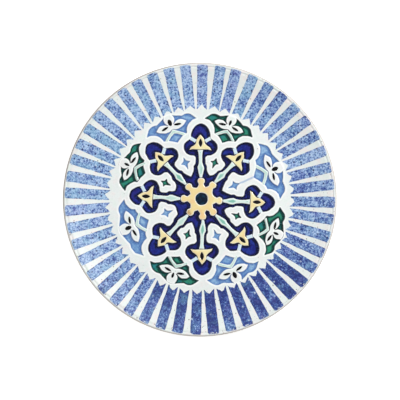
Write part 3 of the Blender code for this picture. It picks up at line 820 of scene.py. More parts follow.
def mint_finish(name, stroke, strength, contour_and_shade):
    """Mint glaze with a green stroke away from its edges, which carry a painted highlight."""
    p, c = Paint(name), tints()
    wash = p.noise(p.place, 0.16, 3.0)
    grain = p.noise(p.place, 1.1, 2.0)
    gap = p.attribute("edge_distance") + (wash - 0.5) * 1.2
    base = p.mix(p.smooth(wash, 0.52, 0.7) * 0.4, c.mint, c.slip)
    brushed = p.smooth(p.noise(p.shifted(8.0, 14.0), 0.045, 1.0), 0.40, 0.54)
    stroked = p.smooth(gap, stroke, stroke + 0.7) * (0.35 + brushed * 0.65)
    base = p.mix(stroked * strength, base, c.mint_stroke)
    # painted highlight along the edges
    base = p.mix((1 - p.smooth(gap, 0.6, 1.2)) * 0.6, base, c.painted_edge_highlight)
    # dark outline at the edges: dark glaze, and painted shade on the side away from the key
    # light
    edge = 1 - p.smooth(p.attribute("pool_distance"), 0.15, 0.5)
    base = p.mix(edge * contour_and_shade, base, c.contour_and_shade)
    return p.finish(base, 0.18 + grain * 0.14, wash + grain * 0.3, 0.15, 0.4)


def ink_finish(name, first, second, gloss):
    """Dense dark glaze in two tints."""
    p = Paint(name)
    wash = p.noise(p.place, 0.22, 3.0)
    base = p.mix(p.smooth(wash, 0.45, 0.7), first, second)
    return p.finish(base, 0.35 + wash * 0.2, wash, 0.08, 0.0, gloss)


def tie_finish(name):
    """Pale blue glaze thinly laid over slip."""
    p, c = Paint(name), tints()
    wash = p.noise(p.place, 0.5, 3.0)
    base = p.mix(p.smooth(wash, 0.4, 0.7) * 0.6, c.tie, c.slip)
    return p.finish(base, 0.18 + wash * 0.14, wash, 0.12, 0.4)


def clay_finish(name):
    """Bare fired earthenware, toasted unevenly, with throwing lines and grog."""
    p, c = Paint(name), tints()
    cloud = p.noise(p.place, 0.03, 4.0)
    grain = p.noise(p.place, 1.6, 4.0, 0.7)
    lines = p.noise(p.xyz(p.radius() * 0.9, 0.0, 3.0), 1.0, 2.0)
    base = p.mix(p.smooth(cloud, 0.35, 0.65) * 0.7, c.clay, c.clay_dark)
    base = p.mix(p.smooth(grain, 0.5, 0.75) * 0.35, base, c.grog)
    base = p.mix(p.specks(2.6, 0.25, 0.3) * 0.6, base, c.clay_speck)
    smear = p.smooth(p.radius(), 147.6, 148.4)
    # the lip comes out darker towards its upper-left side
    upper_left_side = p.smooth(p.towards(140.0) + p.noise(p.place, 0.05, 3.0) * 40.0, 90.0, 150.0)
    base = p.mix(smear, base, p.mix(upper_left_side, c.slip_worn, c.lip_dark))
    return p.finish(base, 0.72 + grain * 0.2, lines + grain * 0.5, 0.25)


def back_finish(name):
    """Thin satin glaze with throwing lines and specks."""
    p, c = Paint(name), tints()
    cloud = p.noise(p.place, 0.05, 4.0)
    grain = p.noise(p.place, 0.8, 2.0)
    lines = p.noise(p.xyz(p.radius() * 0.5, 0.0, 8.0), 1.0, 2.0)
    base = p.mix(p.smooth(cloud, 0.4, 0.65) * 0.6, c.back, c.back_thin)
    base = p.mix(p.specks(5.0, 0.4, 0.35) * 0.7, base, c.speck)
    return p.finish(base, 0.25 + grain * 0.2, lines + grain * 0.3, 0.22, 0.3)


def floor_finish(name):
    """A plain pale floor that glows a little, so that its shadows stay soft."""
    p = Paint(name)
    cloud = p.noise(p.place, 0.004, 2.0)
    material = p.finish(p.mix(cloud, FLOOR_GREY, FLOOR_WHITE), 0.8, cloud, 0.1)
    shader = material.node_tree.nodes["Principled BSDF"]
    shader.inputs["Emission Color"].default_value = (1.0, 1.0, 1.0, 1.0)
    shader.inputs["Emission Strength"].default_value = FLOOR_GLOW
    return material


# --- Geometry Nodes ---
SPREAD = ("turn", "half_length", "half_width", "half_height")


def named_inputs(graph, wanted):
    """Group inputs for sizes, and the numbers that a modifier gives them."""
    tree = graph.tree
    tree.interface.new_socket("Geometry", in_out="INPUT", socket_type="NodeSocketGeometry")
    tree.interface.new_socket("Geometry", in_out="OUTPUT", socket_type="NodeSocketGeometry")
    sockets = {name: tree.interface.new_socket(name, in_out="INPUT",
                                               socket_type="NodeSocketFloat")
               for name in wanted}
    entry = tree.nodes.new("NodeGroupInput")
    values = {name: Value(graph, entry.outputs[name]) for name in wanted}
    return Value(graph, entry.outputs["Geometry"]), values, sockets


def stored(graph, geometry, name, value):
    """The geometry with a number of its own stored at each point."""
    return graph.add("GeometryNodeStoreNamedAttribute",
                     {"data_type": "FLOAT", "domain": "POINT"},
                     {"Geometry": geometry, "Name": name, "Value": value})


def read(graph, *names):
    """The points' own numbers of those names, or the one number of one name."""
    found = [graph.add("GeometryNodeInputNamedAttribute", {"data_type": "FLOAT"},
                       {"Name": name}) for name in names]
    return found if len(found) > 1 else found[0]


def place_of(graph):
    """The x, y and z of each point of the shape."""
    return graph.add("ShaderNodeSeparateXYZ", None,
                     {0: graph.add("GeometryNodeInputPosition")}, output=(0, 1, 2))


def at_least_zero(graph, value):
    """The value, or zero where it is negative."""
    return graph.add("ShaderNodeMath", {"operation": "MAXIMUM"}, {0: value, 1: 0.0})


def moved_to(graph, geometry, *place):
    """The geometry with each point moved to a new x, y and z."""
    return graph.add("GeometryNodeSetPosition", None,
                     {"Geometry": geometry, "Position": graph.xyz(*place)})


def as_points(graph, geometry):
    return graph.add("GeometryNodeMeshToPoints", None, {"Mesh": geometry})


def grown(name, rows, names, build, wanted, material):
    """Runs a Geometry Nodes tree on points, and keeps the plain mesh.

    A row holds a point's place in millimetres, then its numbers in the order of names.
    """
    seeds = bpy.data.meshes.new(name + "_points")
    seeds.from_pydata([(x * MM, y * MM, z * MM) for x, y, z, *_ in rows], [], [])
    for column, key in enumerate(names, 3):
        values = [row[column] for row in rows]
        seeds.attributes.new(key, "FLOAT", "POINT").data.foreach_set("value", values)
    holder = linked(name + "_points", seeds)
    tree = bpy.data.node_groups.new(name, "GeometryNodeTree")
    graph = Graph(tree)
    geometry, values, sockets = named_inputs(graph, wanted)
    shaped = build(graph, geometry, values)
    painted = graph.add("GeometryNodeSetMaterial", None,
                        {"Geometry": shaped, "Material": material})
    graph.add("NodeGroupOutput", None, {"Geometry": painted})
    modifier = holder.modifiers.new(name, "NODES")
    modifier.node_group = tree
    for key, number in wanted.items():
        modifier[sockets[key].identifier] = number
    bpy.context.view_layer.update()
    evaluated = holder.evaluated_get(bpy.context.evaluated_depsgraph_get())
    mesh = bpy.data.meshes.new_from_object(evaluated)
    mesh.name = name
    holder.modifiers.remove(modifier)
    bpy.data.objects.remove(holder)
    if not len(mesh.polygons):
        raise RuntimeError(f"{name} came out empty")
    if not mesh.materials:
        mesh.materials.append(material)
    finish_piece(name, mesh, STROKE_ANGLE)


def realized(graph, points, shape, turn, scale):
    """An instance of shape at each point, turned about the upright, made real."""
    placed = graph.add("GeometryNodeInstanceOnPoints", None,
                       {"Points": points, "Instance": shape,
                        "Rotation": graph.xyz(0.0, 0.0, turn), "Scale": scale})
    return graph.add("GeometryNodeRealizeInstances", None, {"Geometry": placed})


def scattered(graph, geometry, shape):
    """The shape at each point, with the size and turn that the point holds."""
    turn, *halves = read(graph, *SPREAD)
    return realized(graph, as_points(graph, geometry), shape, turn, graph.xyz(*halves))


def mark_shape(graph, geometry, values):
    """Drops of ink, pointed at both ends, one at each point."""
    drop = graph.add("GeometryNodeMeshUVSphere", None,
                     {"Segments": 20, "Rings": 10, "Radius": 1.0})
    x, y, z = place_of(graph)
    narrow = 1 - abs(x) ** 3.0 * values["Pointedness"]
    lying = moved_to(graph, drop, z, y, x)
    return scattered(graph, geometry, moved_to(graph, lying, x, y * narrow, z))


def bar_shape(graph, geometry, values):
    """Rounded bars, one at each point."""
    bar = graph.add("GeometryNodeMeshCube", None,
                    {"Size": (2.0, 2.0, 2.0), "Vertices X": 7, "Vertices Y": 7,
                     "Vertices Z": 4})
    x, y, z = place_of(graph)
    crown = 1 - (abs(y) ** 3.0) * values["Rounding"]
    waist = 1 - (1 - x * x) * values["Waist"]
    return scattered(graph, geometry, moved_to(graph, bar, x, y * waist, z * crown))


def rim_ground(graph, values, radius):
    """Height of the slip under a stripe, by the same rule as rim_height."""
    share = at_least_zero(graph, radius - values["Well"])
    share = share / (values["Crest radius"] - values["Well"])
    slope = values["Well top"] + (values["Crest top"] - values["Well top"]) * share ** RIM_POWER
    lip = values["Lip"]
    out = radius - values["Crest radius"]
    arc = at_least_zero(graph, lip * lip - out * out) ** 0.5
    cap = values["Crest top"] - SKIN * MM - lip + arc
    return graph.add("ShaderNodeMath", {"operation": "SMOOTH_MIN"},
                     {0: slope - SKIN * MM, 1: cap + (out < lip * -1.0) * 1.0,
                      2: RIM_BLEND * MM})


def stripe_shape(graph, geometry, values):
    """Brushed stripes that follow the curve of the rim, with a notched inner end."""
    strip = graph.add("GeometryNodeMeshCube", None,
                      {"Size": (1.0, 2.0, 1.0), "Vertices X": 44, "Vertices Y": 13,
                       "Vertices Z": 2})
    x, y, z = place_of(graph)
    strip = stored(graph, strip, "along", x + 0.5)
    strip = stored(graph, strip, "across", y)
    strip = stored(graph, strip, "upper", z + 0.5)
    strips = realized(graph, as_points(graph, geometry), strip, 0.0, (1.0, 1.0, 1.0))
    along, across, upper, turn, reach, seed = read(
        graph, "along", "across", "upper", "turn", "reach", "seed")
    jag = graph.noise(graph.xyz(across * 1.6, seed * 5.3, 2.0), 1.0, 2.0) - 0.5
    start = (values["Inner"] + values["Notch"] * (1 - abs(across))
             + jag * values["Notch"] * 0.9)
    ragged = graph.noise(graph.xyz(across * 2.0, seed * 3.1, 9.0), 1.0) - 0.5
    end = reach - (across ** 4.0) * values["Bluntness"] + ragged * values["Ragged end"]
    radius = start + (end - start) * along
    half = values["Half inner"] + (values["Half outer"] - values["Half inner"]) * along
    side = graph.smooth(across, -1.0, 1.0)
    sway = graph.noise(graph.xyz(radius * 70.0, seed * 7.7, side * 6.0), 1.0, 3.0, 0.6) - 0.5
    width = half * read(graph, "girth") + sway * values["Wobble"] * 8.0
    drift = graph.noise(graph.xyz(radius * 30.0, seed * 2.9, 30.0), 1.0, 1.0) - 0.5
    angle = turn + (across * width + drift * values["Drift"]) / radius
    thin = graph.smooth(abs(across), 1.0, 0.82) * graph.smooth(along, 0.0, 0.02)
    thin = thin * graph.smooth(along, 1.0, 0.985)
    top = rim_ground(graph, values, radius) + values["Thickness"] * (0.1 + thin * 0.9)
    cosine = graph.add("ShaderNodeMath", {"operation": "COSINE"}, {0: angle})
    sine = graph.add("ShaderNodeMath", {"operation": "SINE"}, {0: angle})
    strips = moved_to(graph, strips, radius * cosine, radius * sine,
                      top - (1 - upper) * values["Bite"])
    tone_in, tone_out = read(graph, "tone_in", "tone_out")
    return stored(graph, strips, "tone", tone_in + (tone_out - tone_in) * along)


# --- The body and the slip ---
SLIP_STEPS = 360             # steps round the slip's well and rim
CLAY_FLOOR = 0.8             # less than the clay's floor is thick
NAVY_AREA = 3000.0           # only the navy pool is larger, in square millimetres
SAME_PLACE = 4.0             # a hole whose middle is this near a pool's is that pool's hole
SLIP_THICK, SLIP_THIN = 2.4, 1.0     # under the slip's surface in the well, and on the rim
SLIP_THINS_OVER = 12.0
TIP_BACK = 1.0               # from the crest to the slip's outermost underside
LIP_TUCK = ((0.99, 0.35), (0.72, 0.6))   # shares of the lip's radius, and how far they drop


def clay_body():
    """The clay, whose section meets the axis twice: under its floor and on top of it."""
    body = section_of("clay_body", 1.6, 40.0)
    body = body[body[:, 0] > ON_AXIS]
    under = body[:, 1] <= SLIP_BASE - CLAY_FLOOR
    body = np.roll(body, -np.argmin(np.where(under, body[:, 0], np.inf)), 0)
    section = [(0.0, body[0][1]), *body, (0.0, body[-1][1])]
    lathe("turned_clay_body", section, 0.05, clay_finish("fired_clay"),
          "clay_body")


def foot_ring():
    lathe("turned_foot_ring", section_of("foot_ring", 0.8, 30.0), 0.0,
          clay_finish("foot_clay"), "foot_ring")


def back_glaze():
    lathe("dipped_back_glaze", section_of("back_glaze", 1.6, 50.0), 0.05,
          back_finish("back_glaze_finish"), "back_glaze")


def box_middle(node):
    """Plan position of the middle of a CAD node's box."""
    return np.array([corner[:2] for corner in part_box(node)]).mean(0) / MM


def slip_rim():
    """The slip's section on the rim: over the crest, then back along its underside."""
    s = sizes()
    well, crest, lip = s.well_radius / MM, s.crest_radius / MM, s.lip_radius / MM
    over = [*np.linspace(well, crest - lip, 34)[1:],
            *(crest + lip * np.sin(np.radians(np.linspace(-70, 88, 12))))]
    side = CREST - SKIN - lip
    section = [(radius, float(rim_height(radius))) for radius in over]
    section += [(crest + lip * share, side - drop) for share, drop in LIP_TUCK]
    back = np.linspace(crest - TIP_BACK, well, 12)[:-1]
    share = np.clip((back - well) / SLIP_THINS_OVER, 0, 1)
    rise = (CREST - WELL_TOP) * ((back - well) / (crest - well)) ** RIM_POWER
    under = WELL_TOP + rise - SLIP_THICK - (SLIP_THIN - SLIP_THICK) * share
    return section + list(zip(back.tolist(), under.tolist()))


def front_slip():
    """White slip over the well and the rim, with the pools cut out of it."""
    s = sizes()
    well = s.well_radius / MM
    circle = np.array([at(360.0 * step / SLIP_STEPS, well) for step in range(SLIP_STEPS)])
    holes = [drawn(hole, 50.0) for hole in cap_outlines("front_slip", WELL_TOP)[1:]]
    greens = [box_middle(f"{kind}_{index}") for index in ARMS[1::2]
              for kind in ("spandrel_ground", "kite_diamond")]
    dark = [hole for hole in holes if abs(enclosed(hole)) > NAVY_AREA or min(
        np.linalg.norm((hole.min(0) + hole.max(0)) / 2 - green)
        for green in greens) < SAME_PLACE]

    def surface(points, distance):
        bead = 0.10 * np.exp(-((distance - 1.5) / 0.8) ** 2)
        wave = ripple(points, 0.09, 0.10, 3.0) * np.clip((well - np.hypot(*points.T)) / 5, 0, 1)
        fallen = rounded(distance, s.edge_round / MM, s.edge_drop / MM)
        return WELL_TOP - SKIN - fallen + bead + wave

    relief("painted_front_slip", [circle, *holes], SLIP_BASE, surface, 1.2,
           slip_finish("white_slip_finish", tints().contour_and_shade), "front_slip",
           rim=slip_rim(), dark=dark)


# --- Pools of glaze ---
POOL_OVERLAP = 0.6           # a pool reaches this far under the slip round it
POOL_LIFT = 0.22             # fired glaze stands this far over the CAD's pool
POOL_BED = 0.02              # from the slip's underside to the pool's
LOOP_SHARE = 0.97            # a widened point closer than this share lies on a loop


def widened(outline, distance):
    """The outline moved outwards, without the loops that sharp corners leave."""
    moved = outline - normals(outline) * distance
    return moved[Edges([outline]).distance(moved) > LOOP_SHARE * distance]


def pool(name, node, corner, material, near=(), run=1.0):
    """Glaze that fills a pool and climbs its walls a little."""
    outline = widened(drawn(cap_outlines(node)[0], corner), POOL_OVERLAP)
    climb = sizes().meniscus / MM

    def surface(points, distance):
        return (POOL_TOP + POOL_LIFT + climb * np.exp(-distance / 0.5)
                + ripple(points, 0.12, 0.09, 5.0))

    relief(name, [outline], SLIP_BASE + POOL_BED, surface, POINT_SPACING, material,
           node, near=near, run=run)


def navy_ground():
    c = tints()
    # lilies, stems and the star stand in the navy; painted shadow falls beside them
    standing = [drawn(outline, 60.0) for index in ARMS
                for outline in (lily_outlines(index)[0], cap_outlines(f"stem_{index}")[0])]
    finish = pool_finish("navy_finish", c.navy, c.pooled_and_shaded, c.navy_wash, 1.25, 1.9,
                         wash=0.5, violet=c.navy_violet)
    pool("poured_navy_ground", "navy_ground", 50.0, finish,
         [*standing, drawn(star_outline(), 80.0)])


def spandrels():
    c = tints()
    finishes = (pool_finish("green_finish", c.green, c.green_edge, c.green_wash, 0.75, 1.8),
                pool_finish("sky_finish", c.sky, c.sky_edge, c.sky_wash, 0.8, 2.0, 0.7, 0.95))
    for index in ARMS:
        near = [drawn(outline(index), 45.0) for outline in (flower_outline, leaf_outline)]
        pool(f"poured_spandrel_{index}", f"spandrel_ground_{index}", 50.0,
             finishes[index % 2], near)


def diamonds():
    c = tints()
    finishes = (
        pool_finish("diamond_green_finish", c.green, c.green_edge, c.green_wash, 0.5, 1.1),
        pool_finish("diamond_sky_finish", c.sky, c.sky_edge, c.sky_wash, 0.5, 1.0, 0.5))
    for index in ARMS:
        pool(f"poured_diamond_{index}", f"kite_diamond_{index}", 60.0, finishes[index % 2],
             run=0.4)


# --- Raised motifs ---
MOTIF_SINK = 0.25            # how far a motif's foot is sunk in the glaze
FLOWER_LENGTH = 14.3         # from foot to tip on the CAD's flower
FLOWER_FOOT = 1.1            # from there to the pattern's own foot
LILY_WAIST, LILY_WAIST_AT, LILY_WAIST_REACH = 0.9, 6.0, 2.6
KNOB_TIP, KNOB_NECK, KNOB_NECK_REACH, KNOB_PINCH = 21.0, 16.2, 1.7, 0.14
STAIN = (227.0, 20.5)        # direction and radius of the toasted spot on the star

# Patterns of the flower and its leaves: (along, across) from the foot, on one side of its
# axis.  A run ends where the next one starts, and one that ends on the axis ends there twice.
PETAL_UNDER = ((-1.1, 0.0), (-2.2, 3.8), (-2.3, 8.5), (-0.3, 14.0), (2.7, 18.0))
PETAL_OVER = ((2.7, 18.0), (6.0, 14.4), (7.2, 10.4), (6.4, 6.2), (4.5, 2.9))
PETAL_TOP = ((4.5, 2.9), (6.2, 4.7), (8.6, 5.9), (11.4, 6.1), (14.0, 5.2), (16.2, 4.8),
             (16.8, 0.0), (16.8, 0.0))
LEAF_BASE = ((-1.0, 0.0), (-1.4, 0.9))
LEAF_OVER = ((-1.4, 0.9), (-4.4, 5.4), (-10.2, 12.4))
LEAF_END = ((-10.2, 12.4), (-12.8, 10.0))
LEAF_UNDER = ((-12.8, 10.0), (-7.8, 4.3), (-5.4, 0.0), (-5.4, 0.0))


def motif(name, node, corner, material, slot, lift=0.0, crown=0.15, outlines=None):
    """A raised motif with a rounded edge, its foot sunk a little in the glaze."""
    s = sizes()

    def surface(points, distance):
        dome = crown * (1 - np.exp(-distance / 2.5))
        fallen = rounded(distance, s.motif_round / MM, s.motif_drop / MM)
        return (level(node, HIGH) + lift - 0.1 - fallen + dome
                + ripple(points, 0.2, 0.06, 8.0))

    relief(name, [drawn(outline, corner) for outline in outlines or cap_outlines(node)],
           MOTIF_BASE - MOTIF_SINK, surface, POINT_SPACING, material, node)


def each_motif(kind, corner, finishes, slot, outlines_of=None, **shape):
    """The eight motifs of a kind, one on each arm or between two arms."""
    for index in ARMS:
        motif(f"painted_{kind}_{index}", f"{kind}_{index}", corner,
              finishes[index % len(finishes)], slot,
              outlines=outlines_of and outlines_of(index), **shape)


def lily_outlines(index):
    """A lily's outline, waisted between its tip and its arms, and its slit."""
    outer, slit = cap_outlines(f"lily_{index}")
    angle, foot, _ = axis_of(outer)

    def waist(along, across):
        near = np.exp(-((along - LILY_WAIST_AT) / LILY_WAIST_REACH) ** 2)
        return across - LILY_WAIST * np.sign(across) * near

    return [bent(refined(outer, 60.0, 1.5), angle, foot, waist), slit]


def star_outline():
    """The star's outline with narrow necks to its knobs."""
    star, hole = cap_outlines("centre_star")
    centre = hole.mean(0)
    star = refined(star, 80.0, 1.2) - centre
    radius = np.hypot(*star.T)
    angle = np.arctan2(star[:, 1], star[:, 0])
    around = np.arange(-4, 5)
    knobs = angle[[i for i in range(len(star)) if radius[i] > KNOB_TIP
                   and radius[i] >= max(radius[(i + around) % len(star)])]]
    for index in range(len(star)):
        off = (angle[index] - knobs + pi) % tau - pi
        nearest = np.argmin(np.abs(off))
        pinch = 1 - KNOB_PINCH * np.exp(-((radius[index] - KNOB_NECK) / KNOB_NECK_REACH) ** 2)
        towards = knobs[nearest] + off[nearest] * pinch
        star[index] = radius[index] * np.array([cos(towards), sin(towards)])
    return star + centre


def flower_pattern(index, runs):
    """A pattern of the flower, scaled to the CAD's flower between two arms."""
    angle, foot, tip = axis_of(cap_outlines(f"flower_{index}")[0])
    scale = (tip - foot) / FLOWER_LENGTH
    return mirrored(runs, angle, foot + FLOWER_FOOT * scale, scale)


def flower_outline(index):
    """Two side petals, and a top petal that opens into the white band."""
    return flower_pattern(index, (PETAL_UNDER, PETAL_OVER, PETAL_TOP))


def leaf_outline(index):
    """Two straight leaves that reach the white border, joined under the flower."""
    return flower_pattern(index, (LEAF_BASE, LEAF_OVER, LEAF_END, LEAF_UNDER))


def centre_star():
    finish = yellow_finish("star_finish", 0.1, 0.75, at(*STAIN))
    motif("painted_centre_star", "centre_star", 80.0, finish, "yellow_glaze", crown=0.3,
          outlines=[star_outline(), cap_outlines("centre_star")[1]])


def centre_eye():
    finish = ink_finish("eye_finish", tints().eye, tints().eye_teal, 0.15)
    motif("painted_centre_eye", "centre_eye", 80.0, finish, "ink_glaze", lift=0.6, crown=0.3,
          outlines=[widened(cap_outlines("centre_eye")[0], 0.45)])


def lilies():
    each_motif("lily", 60.0, [yellow_finish("lily_finish", 0.9, 0.35)], "yellow_glaze",
               lily_outlines)


def stems():
    each_motif("stem", 60.0, [mint_finish("stem_finish", 1.6, 0.9, 0.0)], "mint_glaze")


def flowers():
    finishes = (slip_finish("petal_on_green_finish", tints().contour_and_shade),
                slip_finish("petal_on_sky_finish", tints().sky_edge, 0.55))
    each_motif("flower", 45.0, finishes, "white_slip",
               lambda index: [flower_outline(index)], lift=0.1, crown=0.2)


def leaves():
    finishes = (mint_finish("leaf_on_green_finish", 0.8, 0.45, 0.6),
                mint_finish("leaf_on_sky_finish", 0.9, 0.35, 0.1))
    each_motif("leaf_pair", 45.0, finishes, "mint_glaze", lambda index: [leaf_outline(index)])


# --- Strokes ---
TIE_ALONG, TIE_ACROSS, TIE_TURN = 10.6, 8.1, 60.0        # from a lily's foot
TIE_SINK, TIE_HALF_HEIGHT = 0.95, 0.0008
SLIT_ALONG, SLIT_SINK, SLIT_HALF_HEIGHT = 7.2, 0.35, 0.0007
VEIN_ALONG, VEIN_ACROSS, VEIN_TURN, VEIN_HALF_HEIGHT = 2.6, 7.4, 102.0, 0.0003
SEED_ALONG, PETAL_LIFT, SEED_HALF_HEIGHT = 7.1, 0.15, 0.0005
SEED_HALVES = ((0.0031, 0.0014), (0.0038, 0.0023))       # on green, and on blue


def ties():
    """Pale bars that tie each lily's flanks to the white border."""
    s = sizes()
    rows = []
    for index in ARMS:
        angle, foot, _ = axis_of(cap_outlines(f"lily_{index}")[0])
        rows += [(*at(angle, foot + TIE_ALONG, side * TIE_ACROSS), WELL_TOP - TIE_SINK,
                  radians(angle + side * TIE_TURN), s.tie_length / 2, s.tie_width / 2,
                  TIE_HALF_HEIGHT) for side in (-1, 1)]
    grown("painted_ties", rows, SPREAD, bar_shape, {"Rounding": 0.35, "Waist": 0.12},
          tie_finish("tie_finish"))


def marks():
    """Ink in the lilies' slits and on the petals."""
    s = sizes()
    rows = []
    for index in ARMS:
        angle, foot, _ = axis_of(cap_outlines(f"lily_{index}")[0])
        rows.append((*at(angle, foot + SLIT_ALONG), WELL_TOP - SLIT_SINK, radians(angle),
                     s.seed_half_length, s.seed_half_width, SLIT_HALF_HEIGHT))
        angle, foot, _ = axis_of(cap_outlines(f"flower_{index}")[0])
        foot += FLOWER_FOOT
        rows += [(*at(angle, foot + VEIN_ALONG, side * VEIN_ACROSS), WELL_TOP + PETAL_LIFT,
                  radians(angle + side * VEIN_TURN), s.slit_half_length, s.slit_half_width,
                  VEIN_HALF_HEIGHT) for side in (-1, 1)]
        rows.append((*at(angle, foot + SEED_ALONG), WELL_TOP + PETAL_LIFT, radians(angle),
                     *SEED_HALVES[index % 2], SEED_HALF_HEIGHT))
    grown("painted_marks", rows, SPREAD, mark_shape, {"Pointedness": 0.2},
          ink_finish("seed_finish", tints().ink, tints().ink_thin, 0.12))


FIRST_STRIPE = 6.5           # direction of the first stripe, in degrees
CROWDING, CROWDING_FROM = 1.8, 20.0      # the stripes crowd a little on the side opposite
LONG_SIDE, LONGER = 158.0, 0.0008        # where the stripes run further over the lip
TONE, DARK_SIDE, DARKER, DARK_SPREAD = 0.32, 285.0, 0.56, 2.3
SIDE_TONES = ((175.0, 0.03), (5.0, 0.08))
TEAL_SIDE, TEAL = 165.0, 0.3
STRAY_TURN, STRAY_REACH, STRAY_GIRTH, STRAY_TONE, STRAY_TINT = 0.5, 0.0004, 0.06, 0.08, 0.4
# Stripes whose load differs from the run of the rim: number, inner tone, outer tone.
STRIPE_NOTES = {0: (0.2, -0.05), 2: (-0.12, -0.1), 6: (0.0, 0.2), 7: (0.0, 0.15),
                29: (0.0, 0.25), 32: (0.25, 0.0), 33: (0.3, 0.0), 34: (0.3, 0.0),
                36: (0.1, 0.15), 37: (0.15, -0.25), 41: (0.2, 0.2), 42: (0.0, 0.25)}
STRIPE_TINTS = {8: -0.7, 9: 0.3, 11: 0.35, 19: -0.8, 24: 0.3}    # teal below 0, violet above


def facing(turn, side):
    """1 on that side of the rim, falling to 0 a quarter turn away."""
    return max(0.0, cos(turn - radians(side)))


def stripes():
    """The brush's strokes on the rim, each with its own load, width and length."""
    s = sizes()
    rows = []
    for index in range(s.stripe_count):
        turn = radians(FIRST_STRIPE) + tau * index / s.stripe_count
        turn -= radians(CROWDING) * ((1 - cos(turn - radians(CROWDING_FROM))) / 2) ** 2
        tone = TONE + DARKER * facing(turn, DARK_SIDE) ** DARK_SPREAD
        for side, more in SIDE_TONES:
            tone += more * facing(turn, side)
        inner, outer = STRIPE_NOTES.get(index, (0.0, 0.0))
        stray = noise.noise(Vector((index * 1.37, 4.0, 2.0)))
        girth = 1.0 + STRAY_GIRTH * noise.noise(Vector((index * 2.1, 1.0, 8.0)))
        reach = s.stripe_outer + LONGER * facing(turn, LONG_SIDE) + stray * STRAY_REACH
        tint = STRIPE_TINTS.get(index, STRAY_TINT * stray - TEAL * facing(turn, TEAL_SIDE))
        rows.append((0.0, 0.0, 0.0, turn + radians(stray * STRAY_TURN), reach, float(index),
                     girth, tone + inner + stray * STRAY_TONE,
                     tone + outer - stray * STRAY_TONE, tint))
    wanted = {"Inner": s.stripe_inner, "Notch": s.stripe_notch,
              "Half inner": s.stripe_half_inner, "Half outer": s.stripe_half_outer,
              "Wobble": s.hand_wobble, "Well": s.well_radius,
              "Crest radius": s.crest_radius, "Well top": WELL_TOP * MM,
              "Crest top": CREST * MM, "Lip": s.lip_radius,
              "Thickness": s.stripe_thickness, "Bluntness": 0.0008, "Ragged end": 0.0011,
              "Drift": 0.0010, "Bite": 0.00045}
    names = ("turn", "reach", "seed", "girth", "tone_in", "tone_out", "tint")
    grown("brushed_stripes", rows, names, stripe_shape, wanted,
          stripe_finish("stripe_finish"))


# --- The stage ---
FLOOR_HALF, FLOOR_LEVEL = 2.5, -0.0004
CAMERA_OFFSET = (0.0001, -0.0004)        # the view is straight down, a hair off the axis
KEY_PLACE, KEY_SIZE = (1.15, 0.70, 1.30), 0.5
FILL_PLACES, FILL_SIZE = {"left_fill": (-1.7, 0.2, 1.2), "front_fill": (0.1, -1.8, 1.2),
                          "back_fill": (-0.2, 1.8, 1.2)}, 1.4


def lamp(name, place, size, power):
    """A square soft light that faces the plate."""
    light = bpy.data.lights.new(name, "AREA")
    light.shape = "SQUARE"
    light.size = size
    light.energy = power
    made = linked(name, light)
    made.location = place
    made.rotation_euler = (-Vector(place)).to_track_quat("-Z", "Y").to_euler()


def stage():
    """A pale floor, soft lights and a camera over the plate."""
    scene = bpy.context.scene
    s = scene.plate_stage
    mesh = bpy.data.meshes.new("floor")
    corners = ((-1, -1), (1, -1), (1, 1), (-1, 1))
    mesh.from_pydata([(x * FLOOR_HALF, y * FLOOR_HALF, FLOOR_LEVEL) for x, y in corners], [],
                     [(0, 1, 2, 3)])
    mesh.materials.append(floor_finish("floor_finish"))
    linked("floor", mesh)
    lamp("key_light", KEY_PLACE, KEY_SIZE, s.key_power)
    for name, place in FILL_PLACES.items():
        lamp(name, place, FILL_SIZE, s.fill_power)
    world = bpy.data.worlds.new("room")
    world.use_nodes = True
    background = world.node_tree.nodes["Background"]
    background.inputs["Color"].default_value = (1, 1, 1, 1)
    background.inputs["Strength"].default_value = s.sky_light
    scene.world = world
    view = bpy.data.cameras.new("camera")
    view.lens = s.lens
    view.sensor_width = 36.0
    view.clip_end = 20.0
    scene.camera = linked("camera", view)
    scene.camera.location = (*CAMERA_OFFSET, s.camera_height)
    scene.view_settings.view_transform = "Standard"


# --- Operators ---
class PLATE_OT_clay_body(bpy.types.Operator):
    """Turn the clay body on the wheel"""
    bl_idname = "plate.clay_body"
    bl_label = "Clay body"

    def execute(self, context):
        clay_body()
        return {"FINISHED"}


class PLATE_OT_foot_ring(bpy.types.Operator):
    """Turn the foot ring"""
    bl_idname = "plate.foot_ring"
    bl_label = "Foot ring"

    def execute(self, context):
        foot_ring()
        return {"FINISHED"}


class PLATE_OT_back_glaze(bpy.types.Operator):
    """Dip the back in glaze"""
    bl_idname = "plate.back_glaze"
    bl_label = "Back glaze"

    def execute(self, context):
        back_glaze()
        return {"FINISHED"}


class PLATE_OT_front_slip(bpy.types.Operator):
    """Coat the front in white slip, with its pools cut out"""
    bl_idname = "plate.front_slip"
    bl_label = "Front slip"

    def execute(self, context):
        front_slip()
        return {"FINISHED"}


class PLATE_OT_navy_ground(bpy.types.Operator):
    """Pour the navy ground of the star"""
    bl_idname = "plate.navy_ground"
    bl_label = "Navy ground"

    def execute(self, context):
        navy_ground()
        return {"FINISHED"}


class PLATE_OT_spandrels(bpy.types.Operator):
    """Pour the blue and green spaces between the arms"""
    bl_idname = "plate.spandrels"
    bl_label = "Spandrel grounds"

    def execute(self, context):
        spandrels()
        return {"FINISHED"}


class PLATE_OT_diamonds(bpy.types.Operator):
    """Pour the small diamonds in the kites"""
    bl_idname = "plate.diamonds"
    bl_label = "Kite diamonds"

    def execute(self, context):
        diamonds()
        return {"FINISHED"}


class PLATE_OT_centre_star(bpy.types.Operator):
    """Paint the yellow star in the middle"""
    bl_idname = "plate.centre_star"
    bl_label = "Centre star"

    def execute(self, context):
        centre_star()
        return {"FINISHED"}


class PLATE_OT_centre_eye(bpy.types.Operator):
    """Paint the eye of the star"""
    bl_idname = "plate.centre_eye"
    bl_label = "Centre eye"

    def execute(self, context):
        centre_eye()
        return {"FINISHED"}


